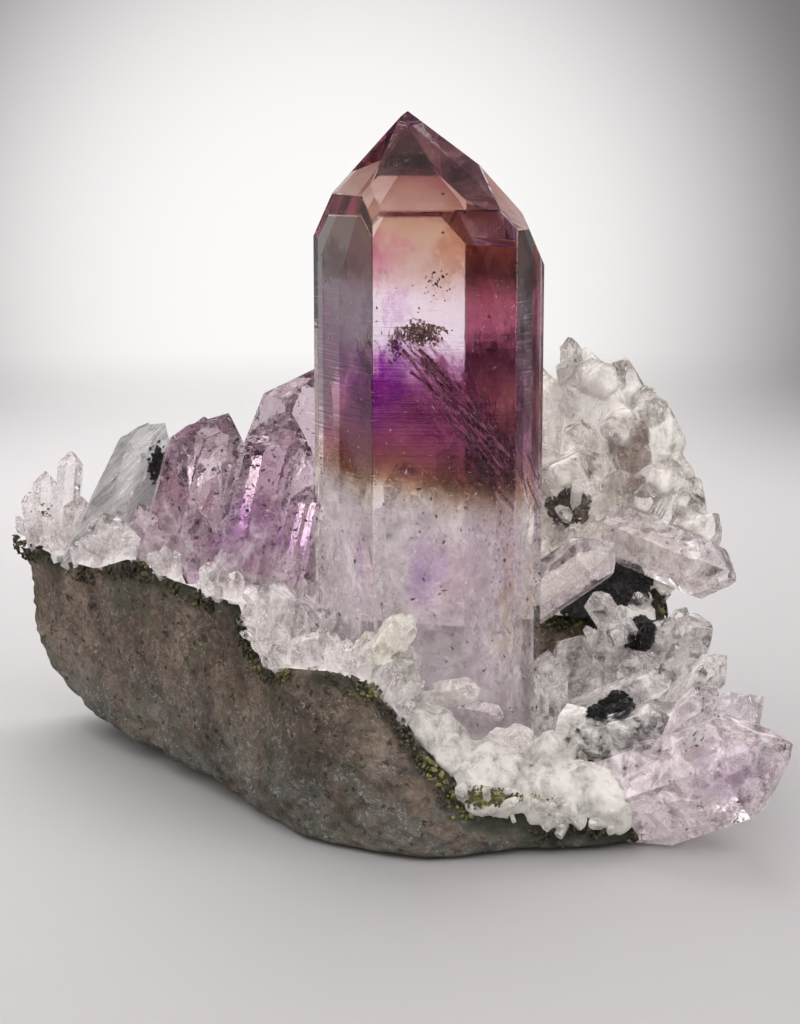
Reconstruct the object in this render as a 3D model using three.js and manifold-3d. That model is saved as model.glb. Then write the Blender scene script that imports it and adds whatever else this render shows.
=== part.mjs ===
// Phantom amethyst crystal standing on its piece of basalt, with the quartz crystals grown around its foot.
// Millimetres, +Z up. The specimen rests on its flat underside, and the viewer looks along +Y.
// Everything is placed from the axis of the tall crystal; the finished group is then moved so that the
// origin lies under the middle of the whole specimen.

import * as THREE from "three";
import { ConvexGeometry } from "three/addons/geometries/ConvexGeometry.js";
import { mergeVertices } from "three/addons/utils/BufferGeometryUtils.js";
import Module from "manifold-3d";

const wasm = await Module();
wasm.setup();

// Quartz habit: slope of the pyramid faces and of the small corner faces against the level, in degrees.
const PYRAMID_TILT = 51.8;
const CORNER_TILT = 65.6;
const PRISM_FACES = 6;

// Free space left where two neighbours touch.
const GAP = 0.3;

// The tall crystal: its faces by bearing, how far each prism face stands from the axis, and the height
// at which the pyramid face above it begins.
const TALL_FACES = [
  { bearing: -90, out: 10.95, shoulder: 72.8 },
  { bearing: -30, out: 17.3, shoulder: 70.6 },
  { bearing: 30, out: 12.5, shoulder: 67.9 },
  { bearing: 90, out: 10.95, shoulder: 71.2 },
  { bearing: 150, out: 9.8, shoulder: 69.1 },
  { bearing: 210, out: 8.2, shoulder: 74.4 },
];
// Small faces that cut three of its shoulders, by bearing and by the height reached on the prism edge.
const TALL_CORNERS = [
  { bearing: 240, height: 71.6 },
  { bearing: 0, height: 66.0 },
  { bearing: 120, height: 68.4 },
];
const TALL_FOOT = 6;

// The basalt: cross-sections around the middle point, at these bearings. Each gives the radius of the
// flat foot, the radius and height of the belly, the radius and height of the rim, and the height of the
// upper surface half-way in.
const ROCK_MIDDLE = new THREE.Vector2(0, 8);
const ROCK_CROWN = 13;
const ROCK_HALF_WAY = 0.55;
const ROCK_SECTIONS = [
  { bearing: 0, foot: 29, belly: 36, bellyZ: 10, rim: 33, rimZ: 21, halfZ: 16 },
  { bearing: 22, foot: 29, belly: 38, bellyZ: 14, rim: 34, rimZ: 33, halfZ: 22 },
  { bearing: 45, foot: 31, belly: 40, bellyZ: 17, rim: 36, rimZ: 40, halfZ: 27 },
  { bearing: 62, foot: 31, belly: 39, bellyZ: 18, rim: 34, rimZ: 41, halfZ: 28 },
  { bearing: 82, foot: 28, belly: 36, bellyZ: 15, rim: 33, rimZ: 34, halfZ: 26 },
  { bearing: 102, foot: 27, belly: 35, bellyZ: 12, rim: 33, rimZ: 29, halfZ: 25 },
  { bearing: 122, foot: 29, belly: 42, bellyZ: 12, rim: 41, rimZ: 26, halfZ: 26 },
  { bearing: 136, foot: 33, belly: 53, bellyZ: 14, rim: 53, rimZ: 25, halfZ: 26 },
  { bearing: 149, foot: 33, belly: 62, bellyZ: 17, rim: 61, rimZ: 25, halfZ: 26 },
  { bearing: 159, foot: 29, belly: 50, bellyZ: 11, rim: 51.5, rimZ: 25, halfZ: 26 },
  { bearing: 170, foot: 25, belly: 40, bellyZ: 9, rim: 41.5, rimZ: 25.5, halfZ: 26 },
  { bearing: 180, foot: 22, belly: 33.5, bellyZ: 9, rim: 33.5, rimZ: 28, halfZ: 26 },
  { bearing: 200, foot: 19, belly: 28, bellyZ: 8, rim: 27.5, rimZ: 27.5, halfZ: 24 },
  { bearing: 218, foot: 20, belly: 26.5, bellyZ: 6.5, rim: 25, rimZ: 26.5, halfZ: 21 },
  { bearing: 233, foot: 24, belly: 29.5, bellyZ: 5, rim: 27.5, rimZ: 20, halfZ: 17 },
  { bearing: 247, foot: 30, belly: 34.5, bellyZ: 4.5, rim: 31, rimZ: 21, halfZ: 16 },
  { bearing: 262, foot: 33, belly: 36.5, bellyZ: 4.5, rim: 31, rimZ: 21.5, halfZ: 13 },
  { bearing: 274, foot: 32.5, belly: 36, bellyZ: 3.5, rim: 33, rimZ: 13, halfZ: 9 },
  { bearing: 290, foot: 33, belly: 36.5, bellyZ: 3, rim: 35, rimZ: 6.5, halfZ: 7 },
  { bearing: 305, foot: 35, belly: 39, bellyZ: 3, rim: 37.5, rimZ: 6, halfZ: 6.5 },
  { bearing: 318, foot: 37, belly: 42, bellyZ: 3.5, rim: 40, rimZ: 6.5, halfZ: 7 },
  { bearing: 332, foot: 34, belly: 38.5, bellyZ: 5, rim: 36, rimZ: 9, halfZ: 9 },
  { bearing: 346, foot: 30, belly: 36, bellyZ: 7, rim: 34, rimZ: 14, halfZ: 12 },
];
// How the surface of the basalt is divided: steps around, and steps from the foot up to the crown.
const ROCK_STEPS_AROUND = 38;
const ROCK_STEPS_UP = 18;
// Flat breaks on its sides: the way each faces, its slope from upright, and its distance out.
const ROCK_BREAKS = [
  { bearing: 216, lean: 6, out: 25.8 },
  { bearing: 186, lean: 12, out: 48.5 },
  { bearing: 240, lean: 8, out: 31.5 },
  { bearing: 258, lean: -14, out: 33.5 },
  { bearing: 118, lean: 12, out: 52 },
  { bearing: 96, lean: -8, out: 32.5 },
  { bearing: 70, lean: 14, out: 35 },
  { bearing: 20, lean: -10, out: 36 },
];
// The height that those distances are measured at, and how much of what stands out past a break goes.
const BREAK_HEIGHT = 14;
const BREAK_DEPTH = 0.8;
// Where the foot, the belly, the rim and the half-way ring lie on the way from the underside to the crown,
// and the width of the step between two of these zones.
const RISE_FOOT = 0.14;
const RISE_BELLY = 0.4;
const RISE_RIM = 0.68;
const RISE_HALF = 0.84;
const RISE_STEP = 0.02;
// How far the side bulges between foot and belly, as a share of the way.
const ROCK_BULGE = 0.22;
// Rounded lumps: their height, the share of it in the finer ones, and the share that lifts the surface.
const LUMP_SIZE = 0.55;
const LUMP_FINE = 0.55;
const LUMP_LIFT = 0.7;
const LUMP_FROM = 2;
const LUMP_FULL = 8;
// The side of the stone starts this far above the table, round its flat foot.
const FOOT_UNDERCUT = 0.4;

// The crust of quartz: how far its stretches reach from the tall crystal, the degrees that each stretch
// keeps clear of the next, a height above all of it, and how deep it is sunk before the stone is cut away.
const TALL_MIDDLE_X = 3.4;
const CRUST_REACH = 80;
const CRUST_MARGIN = 1.2;
const CRUST_TOP = 60;
const CRUST_ROOT = 1;
const CRUST_SHARES = [0, 0.25, 0.5, 0.75, 1];

// Natural variation of a small crystal, as shares of its width: its faces stand nearer or farther from
// the axis, and every second pyramid face is the smaller one and begins higher up.
const FACE_NEAREST = 0.88;
const FACE_SPREAD = 0.24;
const SMALL_FACE_RISE = 0.04;
const SMALL_FACE_SPREAD = 0.2;
const SEED_STEP = 7919;

// Crystals strewn on the crust: their pull square to the stone, and their sway to the sides and forward.
const STREWN_SQUARE = 0.6;
const STREWN_SWAY = [-0.7, 0.7];
const STREWN_FORWARD = [-0.9, 0.3];
const STREWN_ROOT = 0.6;
const STREWN_JITTER = 0.8;

// The crystals end this far above the table, on which only the stone rests.
const CLEARANCE = 0.5;
const BELOW = 300;
const ABOVE = 200;
// Three planes meet in a corner when their normals are this far from lying in one plane, and a corner
// counts as behind a plane within this distance.
const MEETING = 1e-6;
const BEHIND = 1e-5;

/** Repeatable random numbers from 0 to 1, so that every build gives the same crystals. */
function randomStream(seed) {
  let state = seed;
  return () => {
    state = (state * 1664525 + 1013904223) % 4294967296;
    return state / 4294967296;
  };
}

/** The unit vector at a bearing around the Z axis, raised by an elevation, both in degrees. */
function direction(bearing, elevation) {
  const turn = THREE.MathUtils.degToRad(bearing);
  const rise = THREE.MathUtils.degToRad(elevation);
  return new THREE.Vector3(
    Math.cos(turn) * Math.cos(rise),
    Math.sin(turn) * Math.cos(rise),
    Math.sin(rise),
  );
}

/** A closed geometry as a solid that can be joined and cut. */
function toSolid(geometry) {
  const bare = geometry.index ? geometry.clone() : geometry;
  bare.deleteAttribute("normal");
  bare.deleteAttribute("uv");
  const merged = mergeVertices(bare, 1e-4);
  return new wasm.Manifold(new wasm.Mesh({
    numProp: 3,
    vertProperties: new Float32Array(merged.attributes.position.array),
    triVerts: new Uint32Array(merged.index.array),
  }));
}

/** The largest whole body of a solid, without the chips that a cut leaves beside it. */
function largestBody(solid) {
  const bodies = solid.decompose();
  return bodies.reduce((best, body) => (body.volume() > best.volume() ? body : best));
}

/** A solid as a three.js geometry. */
function toGeometry(solid) {
  const mesh = solid.getMesh();
  const geometry = new THREE.BufferGeometry();
  geometry.setAttribute("position", new THREE.BufferAttribute(new Float32Array(mesh.vertProperties), 3));
  geometry.setIndex(new THREE.BufferAttribute(new Uint32Array(mesh.triVerts), 1));
  geometry.computeVertexNormals();
  return geometry;
}

/** Several solids joined in one. */
function join(solids) {
  return solids.reduce((whole, solid) => whole.add(solid));
}

/** A solid cut back from its neighbours. */
function clearOf(solid, neighbours) {
  return neighbours.reduce((rest, neighbour) => rest.subtract(neighbour), solid);
}

/** The corners of the convex body that lies behind all the planes, each given as normal and distance. */
function cornersBehind(planes) {
  const corners = [];
  const rows = new THREE.Matrix3();
  for (let i = 0; i < planes.length; i += 1) {
    for (let j = i + 1; j < planes.length; j += 1) {
      for (let k = j + 1; k < planes.length; k += 1) {
        const [a, b, c] = [planes[i], planes[j], planes[k]];
        rows.set(...a.normal.toArray(), ...b.normal.toArray(), ...c.normal.toArray());
        if (Math.abs(rows.determinant()) < MEETING) continue;
        const corner = new THREE.Vector3(a.out, b.out, c.out).applyMatrix3(rows.invert());
        const inside = planes.every((plane) => plane.normal.dot(corner) < plane.out + BEHIND);
        if (inside) corners.push(corner);
      }
    }
  }
  return corners;
}

/** The planes of a quartz crystal along +Z: prism faces, pyramid faces, corner faces and foot. */
function quartzPlanes({ faces, corners, foot, grow }) {
  const planes = [{ normal: new THREE.Vector3(0, 0, -1), out: grow - foot }];
  const tilt = 90 - PYRAMID_TILT;
  for (const { bearing, out, shoulder } of faces) {
    const edge = direction(bearing, 0).multiplyScalar(out).setZ(shoulder);
    const pyramid = direction(bearing, tilt);
    planes.push({ normal: direction(bearing, 0), out: out + grow });
    planes.push({ normal: pyramid, out: pyramid.dot(edge) + grow });
  }
  for (const { bearing, height } of corners) {
    const [left, right] = [bearing - 30, bearing + 30].map((turn) =>
      faces.find((face) => Math.abs(((face.bearing - turn + 540) % 360) - 180) < 1));
    const [a, b] = [direction(left.bearing, 0), direction(right.bearing, 0)];
    const spread = a.x * b.y - a.y * b.x;
    const edge = new THREE.Vector3(
      (left.out * b.y - right.out * a.y) / spread,
      (right.out * a.x - left.out * b.x) / spread,
      height,
    );
    const corner = direction(bearing, 90 - CORNER_TILT);
    planes.push({ normal: corner, out: corner.dot(edge) + grow });
  }
  return planes;
}

/** The tall crystal, or with grow the room that its neighbours leave for it. */
function tallCrystal(grow) {
  const planes = quartzPlanes({ faces: TALL_FACES, corners: TALL_CORNERS, foot: TALL_FOOT, grow });
  return toSolid(new ConvexGeometry(cornersBehind(planes)));
}

/**
 * A quartz crystal from its foot to its tip. Width is measured across the prism, flat is its depth as a
 * share of the width, and roll turns it about its own axis. The seed varies the faces, as in nature.
 */
function crystal({ foot, tip, width, flat = 1, roll = 0, seed = 1 }, grow = 0) {
  const random = randomStream(seed * SEED_STEP);
  const start = new THREE.Vector3(...foot);
  const axis = new THREE.Vector3(...tip).sub(start);
  const length = axis.length();
  const steepness = Math.tan(THREE.MathUtils.degToRad(PYRAMID_TILT));
  const faces = [];
  for (let k = 0; k < PRISM_FACES; k += 1) {
    const bearing = k * 60;
    const across = Math.abs(Math.cos(THREE.MathUtils.degToRad(bearing)));
    const out = (width / 2) * (flat + (1 - flat) * across) * (FACE_NEAREST + FACE_SPREAD * random());
    const apart = k % 2 === 0 ? 0 : width * (SMALL_FACE_RISE + SMALL_FACE_SPREAD * random());
    faces.push({ bearing, out, shoulder: length - out * steepness + apart });
  }
  const planes = quartzPlanes({ faces, corners: [], foot: 0, grow });
  const geometry = new ConvexGeometry(cornersBehind(planes));
  const turn = new THREE.Quaternion().setFromUnitVectors(new THREE.Vector3(0, 0, 1), axis.normalize());
  geometry.rotateZ(THREE.MathUtils.degToRad(roll));
  geometry.applyQuaternion(turn);
  geometry.translate(...start.toArray());
  return toSolid(geometry);
}

/** The shape of the basalt at a bearing, from its sections on both sides. */
function rockSection(bearing) {
  const count = ROCK_SECTIONS.length;
  const after = ROCK_SECTIONS.findIndex((section) => section.bearing > bearing);
  const right = after === -1 ? 0 : after;
  const left = (right + count - 1) % count;
  const [a, b] = [ROCK_SECTIONS[left], ROCK_SECTIONS[right]];
  const span = (b.bearing - a.bearing + 360) % 360;
  const share = THREE.MathUtils.smoothstep((bearing - a.bearing + 360) % 360, 0, span);
  const mix = (key) => THREE.MathUtils.lerp(a[key], b[key], share);
  return {
    foot: mix("foot"),
    belly: mix("belly"),
    bellyZ: mix("bellyZ"),
    rim: mix("rim"),
    rimZ: mix("rimZ"),
    halfZ: mix("halfZ"),
  };
}

/** The point of the basalt's profile at a rise from 0, the underside's middle, to 1, the crown. */
function rockProfile(section, rise) {
  const { foot, belly, bellyZ, rim, rimZ, halfZ } = section;
  const rings = [
    { at: 0, radius: 0, height: 0 },
    { at: RISE_FOOT, radius: foot, height: 0 },
    { at: RISE_BELLY, radius: belly, height: bellyZ },
    { at: RISE_RIM, radius: rim, height: rimZ },
    { at: RISE_HALF, radius: rim * ROCK_HALF_WAY, height: halfZ },
    { at: 1, radius: 0, height: ROCK_CROWN },
  ];
  const upper = Math.max(1, rings.findIndex((ring) => ring.at >= rise - MEETING));
  const [a, b] = [rings[upper - 1], rings[upper]];
  const share = (rise - a.at) / (b.at - a.at);
  const bulge = b.at === RISE_BELLY ? ROCK_BULGE * Math.sin(share * Math.PI) : 0;
  return {
    radius: THREE.MathUtils.lerp(a.radius, b.radius, share) + bulge * (b.radius - a.radius),
    height: THREE.MathUtils.lerp(a.height, b.height, share) - bulge * (b.height - a.height),
  };
}

/** Rounded lumps over the basalt, from a few waves that cross each other. */
function lump({ x, y, z }) {
  const long = Math.sin(x * 0.31 + z * 0.23) + Math.sin(y * 0.27 - z * 0.35 + 1.3);
  const short = Math.sin(x * 0.74 + y * 0.52 + z * 0.61) + Math.sin(y * 0.83 - x * 0.47 - z * 0.9);
  return LUMP_SIZE * (long + LUMP_FINE * short);
}

/** A point of the stone's side pressed in where it stands out past a flat break. */
function broken(point) {
  for (const { bearing, lean, out } of ROCK_BREAKS) {
    const normal = direction(bearing, -lean);
    const middle = new THREE.Vector3(ROCK_MIDDLE.x, ROCK_MIDDLE.y, BREAK_HEIGHT);
    const past = point.clone().sub(middle).dot(normal) - out;
    if (past > 0) point.addScaledVector(normal, -BREAK_DEPTH * past);
  }
}

/**
 * The basalt as a displaced ball. Side and top move its surface out: 0 gives the stone itself, and the
 * crust of quartz over its upper side is the difference between two of them.
 */
function rock(side, top) {
  const ball = new THREE.SphereGeometry(1, ROCK_STEPS_AROUND, ROCK_STEPS_UP);
  ball.rotateX(Math.PI / 2);
  ball.deleteAttribute("normal");
  ball.deleteAttribute("uv");
  const geometry = mergeVertices(ball, 1e-4);
  const points = geometry.attributes.position;
  const rises = [];
  for (let i = 0; i < points.count; i += 1) {
    const point = new THREE.Vector3().fromBufferAttribute(points, i);
    const bearing = (THREE.MathUtils.radToDeg(Math.atan2(point.y, point.x)) + 360) % 360;
    const rise = 1 - Math.acos(THREE.MathUtils.clamp(point.z, -1, 1)) / Math.PI;
    const { radius, height } = rockProfile(rockSection(bearing), rise);
    const out = direction(bearing, 0);
    point.set(ROCK_MIDDLE.x + out.x * radius, ROCK_MIDDLE.y + out.y * radius, height);
    if (rise > RISE_FOOT + RISE_STEP) {
      point.addScaledVector(out, lump(point));
      point.z += LUMP_LIFT * lump(point) * THREE.MathUtils.smoothstep(height, LUMP_FROM, LUMP_FULL);
      if (rise < RISE_RIM + RISE_STEP) broken(point);
      point.z = Math.max(point.z, FOOT_UNDERCUT);
    }
    points.setXYZ(i, ...point.toArray());
    rises.push(rise);
  }
  geometry.computeVertexNormals();
  const normals = geometry.attributes.normal;
  for (let i = 0; i < points.count; i += 1) {
    const share = THREE.MathUtils.smoothstep(rises[i], RISE_RIM - 2 * RISE_STEP, RISE_RIM + RISE_STEP);
    const offset = THREE.MathUtils.lerp(side, top, share);
    const point = new THREE.Vector3().fromBufferAttribute(points, i);
    const normal = new THREE.Vector3().fromBufferAttribute(normals, i);
    points.setXYZ(i, ...point.addScaledVector(normal, offset).toArray());
  }
  return toSolid(geometry);
}

const rockSurface = new THREE.Mesh(toGeometry(rock(0, 0)), new THREE.MeshStandardMaterial());

/** The point of the basalt's upper surface above a place in plan. */
function onRock(x, y) {
  const caster = new THREE.Raycaster(new THREE.Vector3(x, y, ABOVE), new THREE.Vector3(0, 0, -1));
  const [hit] = caster.intersectObject(rockSurface);
  return { point: hit.point, normal: hit.face.normal };
}

/** Small crystals strewn over an area of the crust, each standing roughly square to the stone. */
function druse({ from, to, count, width, length, lean, seed }) {
  const random = randomStream(seed);
  const between = ([low, high]) => low + (high - low) * random();
  const points = [];
  for (let k = 0; k < count; k += 1) {
    const along = (k + 0.5 + STREWN_JITTER * (random() - 0.5)) / count;
    const x = THREE.MathUtils.lerp(from[0], to[0], along) + between([-lean, lean]);
    const y = THREE.MathUtils.lerp(from[1], to[1], along) + between([-lean, lean]);
    const { point, normal } = onRock(x, y);
    const up = normal.clone().multiplyScalar(STREWN_SQUARE);
    up.add(new THREE.Vector3(between(STREWN_SWAY), between(STREWN_FORWARD), 1)).normalize();
    points.push({
      foot: point.clone().addScaledVector(up, -STREWN_ROOT).toArray(),
      tip: point.clone().addScaledVector(up, between(length)).toArray(),
      width: between(width),
      roll: 60 * random(),
      seed: seed + k,
    });
  }
  return points;
}

/** The crust of quartz over the basalt between two bearings, seen from the tall crystal's axis. */
function crust({ from, to, floor, thickness }, grow) {
  const middle = new THREE.Vector2(TALL_MIDDLE_X, 0);
  const margin = grow > 0 ? CRUST_MARGIN : 0;
  const shape = new THREE.Shape();
  shape.moveTo(middle.x, middle.y);
  for (const share of CRUST_SHARES) {
    const ray = direction(THREE.MathUtils.lerp(from - margin, to + margin, share), 0);
    shape.lineTo(middle.x + ray.x * CRUST_REACH, middle.y + ray.y * CRUST_REACH);
  }
  const wedge = new THREE.ExtrudeGeometry(shape, { depth: CRUST_TOP - floor + grow, bevelEnabled: false });
  wedge.translate(0, 0, floor - grow);
  const under = Math.max(GAP - grow, 0);
  return rock(-CRUST_ROOT, thickness + grow).intersect(toSolid(wedge)).subtract(rock(under, under));
}

/** A rounded lump of massive quartz: middle, half-sizes and turn about Z. */
function massive({ middle, size, turn = 0 }, grow) {
  const geometry = new THREE.IcosahedronGeometry(1, 1);
  geometry.scale(...size.map((half) => half + grow));
  geometry.rotateZ(THREE.MathUtils.degToRad(turn));
  geometry.translate(...middle);
  return toSolid(geometry);
}

/** A cluster: its stretch of crust, its crystals and its massive lumps, grown together. */
function cluster({ ground, crystals, strewn = [], lumps = [] }, grow) {
  const points = [...crystals, ...strewn.flatMap((row) => druse(row))];
  const pieces = points.map((one) => crystal(one, grow));
  pieces.push(...lumps.map((one) => massive(one, grow)));
  if (ground) pieces.push(crust(ground, grow));
  return join(pieces);
}

// Crystals of each cluster, from foot to tip.
const LEFT_AMETHYSTS = {
  crystals: [
    { foot: [-28.5, 9, 21], tip: [-22, 16, 45.4], width: 12.5, flat: 0.75, roll: 10, seed: 3 },
    { foot: [-24, 11, 22], tip: [-25.2, 17, 44.8], width: 7.5, roll: 22, seed: 5 },
    { foot: [-20.5, -1.5, 18], tip: [-13.6, 6, 47.2], width: 9, flat: 0.85, roll: 6, seed: 8 },
    { foot: [-20, 18, 22], tip: [-8, 23, 51.4], width: 14, flat: 0.85, roll: 30, seed: 12 },
    { foot: [-15.8, -4.5, 19], tip: [-10.9, 0.6, 38.6], width: 3.6, roll: 12, seed: 14 },
    { foot: [-28.5, 14.5, 24], tip: [-33.2, 11, 34.5], width: 4.6, roll: 40, seed: 19 },
    { foot: [-23, 3, 20], tip: [-25.2, 2.5, 35.5], width: 5.2, roll: 15, seed: 23 },
  ],
};
const GREY_CRYSTALS = {
  crystals: [
    { foot: [-41.5, 24, 22], tip: [-31.2, 26, 42.6], width: 8.6, flat: 0.8, roll: 8, seed: 31 },
    { foot: [-38.5, 27, 22], tip: [-33.8, 29, 42.2], width: 5, roll: 30, seed: 33 },
  ],
};
const UPPER_QUARTZ = {
  ground: { from: 8, to: 58, floor: 20, thickness: 1.6 },
  crystals: [
    { foot: [24, 27, 28], tip: [22.5, 14, 40], width: 10, roll: 0, seed: 41 },
    { foot: [27, 30, 34], tip: [24.5, 25, 53], width: 8, roll: 20, seed: 42 },
    { foot: [27, 28, 32], tip: [30, 25, 51.8], width: 7.5, roll: 10, seed: 43 },
    { foot: [23, 28, 42], tip: [22.6, 26, 54.4], width: 2.6, roll: 30, seed: 44 },
    { foot: [20, 30, 34], tip: [18.5, 28, 50.5], width: 6, roll: 5, seed: 45 },
    { foot: [31, 27, 30], tip: [35, 22, 46.4], width: 8, roll: 15, seed: 46 },
    { foot: [31, 20, 26], tip: [36.5, 17, 40.5], width: 8, roll: 45, seed: 47 },
    { foot: [32, 15, 24], tip: [38.8, 14, 37.5], width: 5, roll: 0, seed: 48 },
    { foot: [31, 14, 22], tip: [40.8, 10, 33.5], width: 5.5, roll: 25, seed: 49 },
    { foot: [28, 20, 30], tip: [28.5, 13, 38.5], width: 4, roll: 0, seed: 50 },
    { foot: [31, 19, 28], tip: [31.5, 13, 36.5], width: 3.6, roll: 30, seed: 51 },
  ],
  strewn: [{ from: [18, 20], to: [24, 34], count: 2, width: [3, 4.4], length: [5, 8], lean: 2, seed: 401 }],
};
const SIDE_CRYSTAL = {
  crystals: [{ foot: [15.5, 7, 22], tip: [26.8, 2.5, 31.2], width: 6, roll: 30, seed: 61 }],
};
const POINT_CRYSTAL = {
  crystals: [{ foot: [28, 13, 30.5], tip: [41.9, 2, 26.3], width: 8, flat: 0.8, roll: 0, seed: 71 }],
};
const END_AMETHYSTS = {
  crystals: [
    { foot: [27, -17, 4], tip: [44.8, -25, 13.3], width: 11.5, roll: 30, seed: 81 },
    { foot: [29, -17, 4.5], tip: [34, -27, 7], width: 6.5, roll: 10, seed: 82 },
    { foot: [33, -14, 9], tip: [42.5, -18, 17], width: 5, roll: 20, seed: 83 },
    { foot: [30, -14, 8], tip: [37.5, -16, 17.5], width: 4.5, roll: 0, seed: 84 },
  ],
};
const MILKY_QUARTZ = {
  ground: { from: 270, to: 320, floor: 2.5, thickness: 1.8 },
  crystals: [
    { foot: [1.5, -15, 15], tip: [9.8, -16.5, 17.6], width: 2.8, roll: 0, seed: 101 },
    { foot: [9, -16, 9], tip: [16, -18, 13], width: 3.2, roll: 10, seed: 102 },
    { foot: [18, -19, 6], tip: [17, -21, 14], width: 4.4, roll: 0, seed: 103 },
    { foot: [22, -19, 5], tip: [21, -23, 10.5], width: 5, roll: 20, seed: 104 },
  ],
  lumps: [
    { middle: [2.5, -20, 9], size: [6.5, 5.5, 8] },
    { middle: [10, -20.5, 6.5], size: [7, 6, 6], turn: 20 },
    { middle: [17, -20, 5.5], size: [7, 6, 5], turn: -10 },
    { middle: [24, -19.5, 5], size: [6, 5.5, 4.5] },
  ],
};
const RIGHT_DRUSE = {
  ground: { from: -38, to: 6.5, floor: 4.5, thickness: 1.6 },
  crystals: [
    { foot: [29, 5, 16], tip: [38.5, -3, 21.5], width: 5.5, roll: 20, seed: 72 },
    { foot: [30, 3, 12], tip: [33.5, -3.5, 23], width: 4.5, flat: 0.7, roll: 10, seed: 73 },
    { foot: [30, 0, 12], tip: [38.5, -5, 18], width: 4.5, roll: 0, seed: 74 },
    { foot: [21, -8, 11], tip: [32.5, -12, 17.3], width: 4.6, roll: 0, seed: 91 },
    { foot: [18.3, -11, 6], tip: [17.9, -9.6, 20.5], width: 4.2, roll: 0, seed: 92 },
    { foot: [24, -12, 6], tip: [22.6, -15.5, 15.2], width: 4.6, roll: 15, seed: 93 },
    { foot: [25, -12, 6], tip: [27, -15, 15.6], width: 4.4, roll: 40, seed: 94 },
    { foot: [31, -6, 10], tip: [39.5, -8.5, 19.5], width: 4, roll: 0, seed: 95 },
    { foot: [25, 4, 13], tip: [27.5, -1, 22.8], width: 4.5, roll: 0, seed: 96 },
    { foot: [19.5, -2, 12], tip: [22, -6.5, 21.5], width: 4.2, roll: 0, seed: 97 },
  ],
  strewn: [{ from: [21, -2], to: [31, 2], count: 2, width: [3, 4], length: [4, 7], lean: 2, seed: 521 }],
};
const FRONT_DRUSE = {
  ground: { from: 207, to: 268.5, floor: 12, thickness: 1.5 },
  crystals: [
    { foot: [-12, -16, 17], tip: [-10.8, -18, 23.8], width: 4, roll: 0, seed: 111 },
    { foot: [-8, -15, 15], tip: [-7.5, -17, 24.4], width: 4, roll: 15, seed: 112 },
    { foot: [-3, -14, 13], tip: [-2.3, -16.5, 24.4], width: 4.5, roll: 0, seed: 113 },
    { foot: [0, -14, 11], tip: [0.6, -15.5, 23.4], width: 4, roll: 30, seed: 114 },
    { foot: [-14, -8, 16], tip: [-14.6, -11, 30], width: 5, roll: 10, seed: 115 },
    { foot: [-12, -9, 15], tip: [-11.5, -12.5, 27], width: 4.5, roll: 0, seed: 116 },
  ],
};
const LEFT_DRUSE = {
  ground: { from: 122, to: 205.5, floor: 20, thickness: 1.6 },
  crystals: [
    { foot: [-46.5, 36, 24], tip: [-45.2, 36, 37.2], width: 3.2, roll: 0, seed: 121 },
    { foot: [-48.5, 36, 24], tip: [-48.8, 35.5, 34.5], width: 3.6, roll: 20, seed: 122 },
    { foot: [-50, 37, 24], tip: [-51.2, 36, 31.5], width: 3, roll: 0, seed: 123 },
    { foot: [-44, 30, 24], tip: [-42.9, 27.5, 32.4], width: 4, roll: 10, seed: 124 },
    { foot: [-37, 20.5, 25], tip: [-39.2, 17, 32], width: 4.5, roll: 0, seed: 125 },
    { foot: [-31.5, 14, 25.5], tip: [-35, 10.5, 32], width: 4.5, roll: 15, seed: 126 },
    { foot: [-27, 32, 24], tip: [-28.5, 37, 37], width: 6.5, roll: 0, seed: 127 },
    { foot: [-21, 30, 24], tip: [-21, 35.5, 34], width: 5, roll: 20, seed: 128 },
  ],
  strewn: [
    { from: [-44, 31], to: [-19.5, -3], count: 4, width: [3, 4.4], length: [3, 5], lean: 1, seed: 701 },
  ],
};
const BACK_DRUSE = {
  ground: { from: 59.5, to: 120.5, floor: 20, thickness: 1.6 },
  crystals: [
    { foot: [2, 24, 20], tip: [1, 30, 38], width: 7, roll: 0, seed: 131 },
    { foot: [9, 28, 22], tip: [11, 36, 37], width: 6, roll: 0, seed: 132 },
  ],
  strewn: [{ from: [-10, 31], to: [14, 32], count: 3, width: [3.4, 5], length: [4, 8], lean: 3, seed: 801 }],
};

// What is built, in order: the first named keeps its shape, and each later one stops short of it.
const CLUSTERS = [
  { name: "left_amethysts", parts: LEFT_AMETHYSTS, look: { color: 0xb9a3b8, roughness: 0.12 } },
  { name: "grey_quartz", parts: GREY_CRYSTALS, look: { color: 0xa9a6a4, roughness: 0.15 } },
  { name: "side_crystal", parts: SIDE_CRYSTAL, look: { color: 0xc9bfc2, roughness: 0.1 } },
  { name: "point_crystal", parts: POINT_CRYSTAL, look: { color: 0xcfc8c4, roughness: 0.1 } },
  { name: "end_amethysts", parts: END_AMETHYSTS, look: { color: 0xc4aebd, roughness: 0.12 } },
  { name: "upper_quartz", parts: UPPER_QUARTZ, look: { color: 0xc5c6b8, roughness: 0.2 } },
  { name: "milky_quartz", parts: MILKY_QUARTZ, look: { color: 0xdad6d0, roughness: 0.35 } },
  { name: "right_druse", parts: RIGHT_DRUSE, look: { color: 0xcbbfbd, roughness: 0.2 } },
  { name: "front_druse", parts: FRONT_DRUSE, look: { color: 0xd6d0bd, roughness: 0.25 } },
  { name: "left_druse", parts: LEFT_DRUSE, look: { color: 0xcfc6c4, roughness: 0.25 } },
  { name: "back_druse", parts: BACK_DRUSE, look: { color: 0xc9c4bd, roughness: 0.25 } },
];
const BASALT_LOOK = { color: 0x6a5d52, roughness: 0.85 };
const TALL_LOOK = { color: 0x8f6a94, roughness: 0.05 };

/** A solid as a named mesh. */
function piece(name, solid, look) {
  const mesh = new THREE.Mesh(toGeometry(solid), new THREE.MeshStandardMaterial({ metalness: 0, ...look }));
  mesh.name = name;
  return mesh;
}

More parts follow.
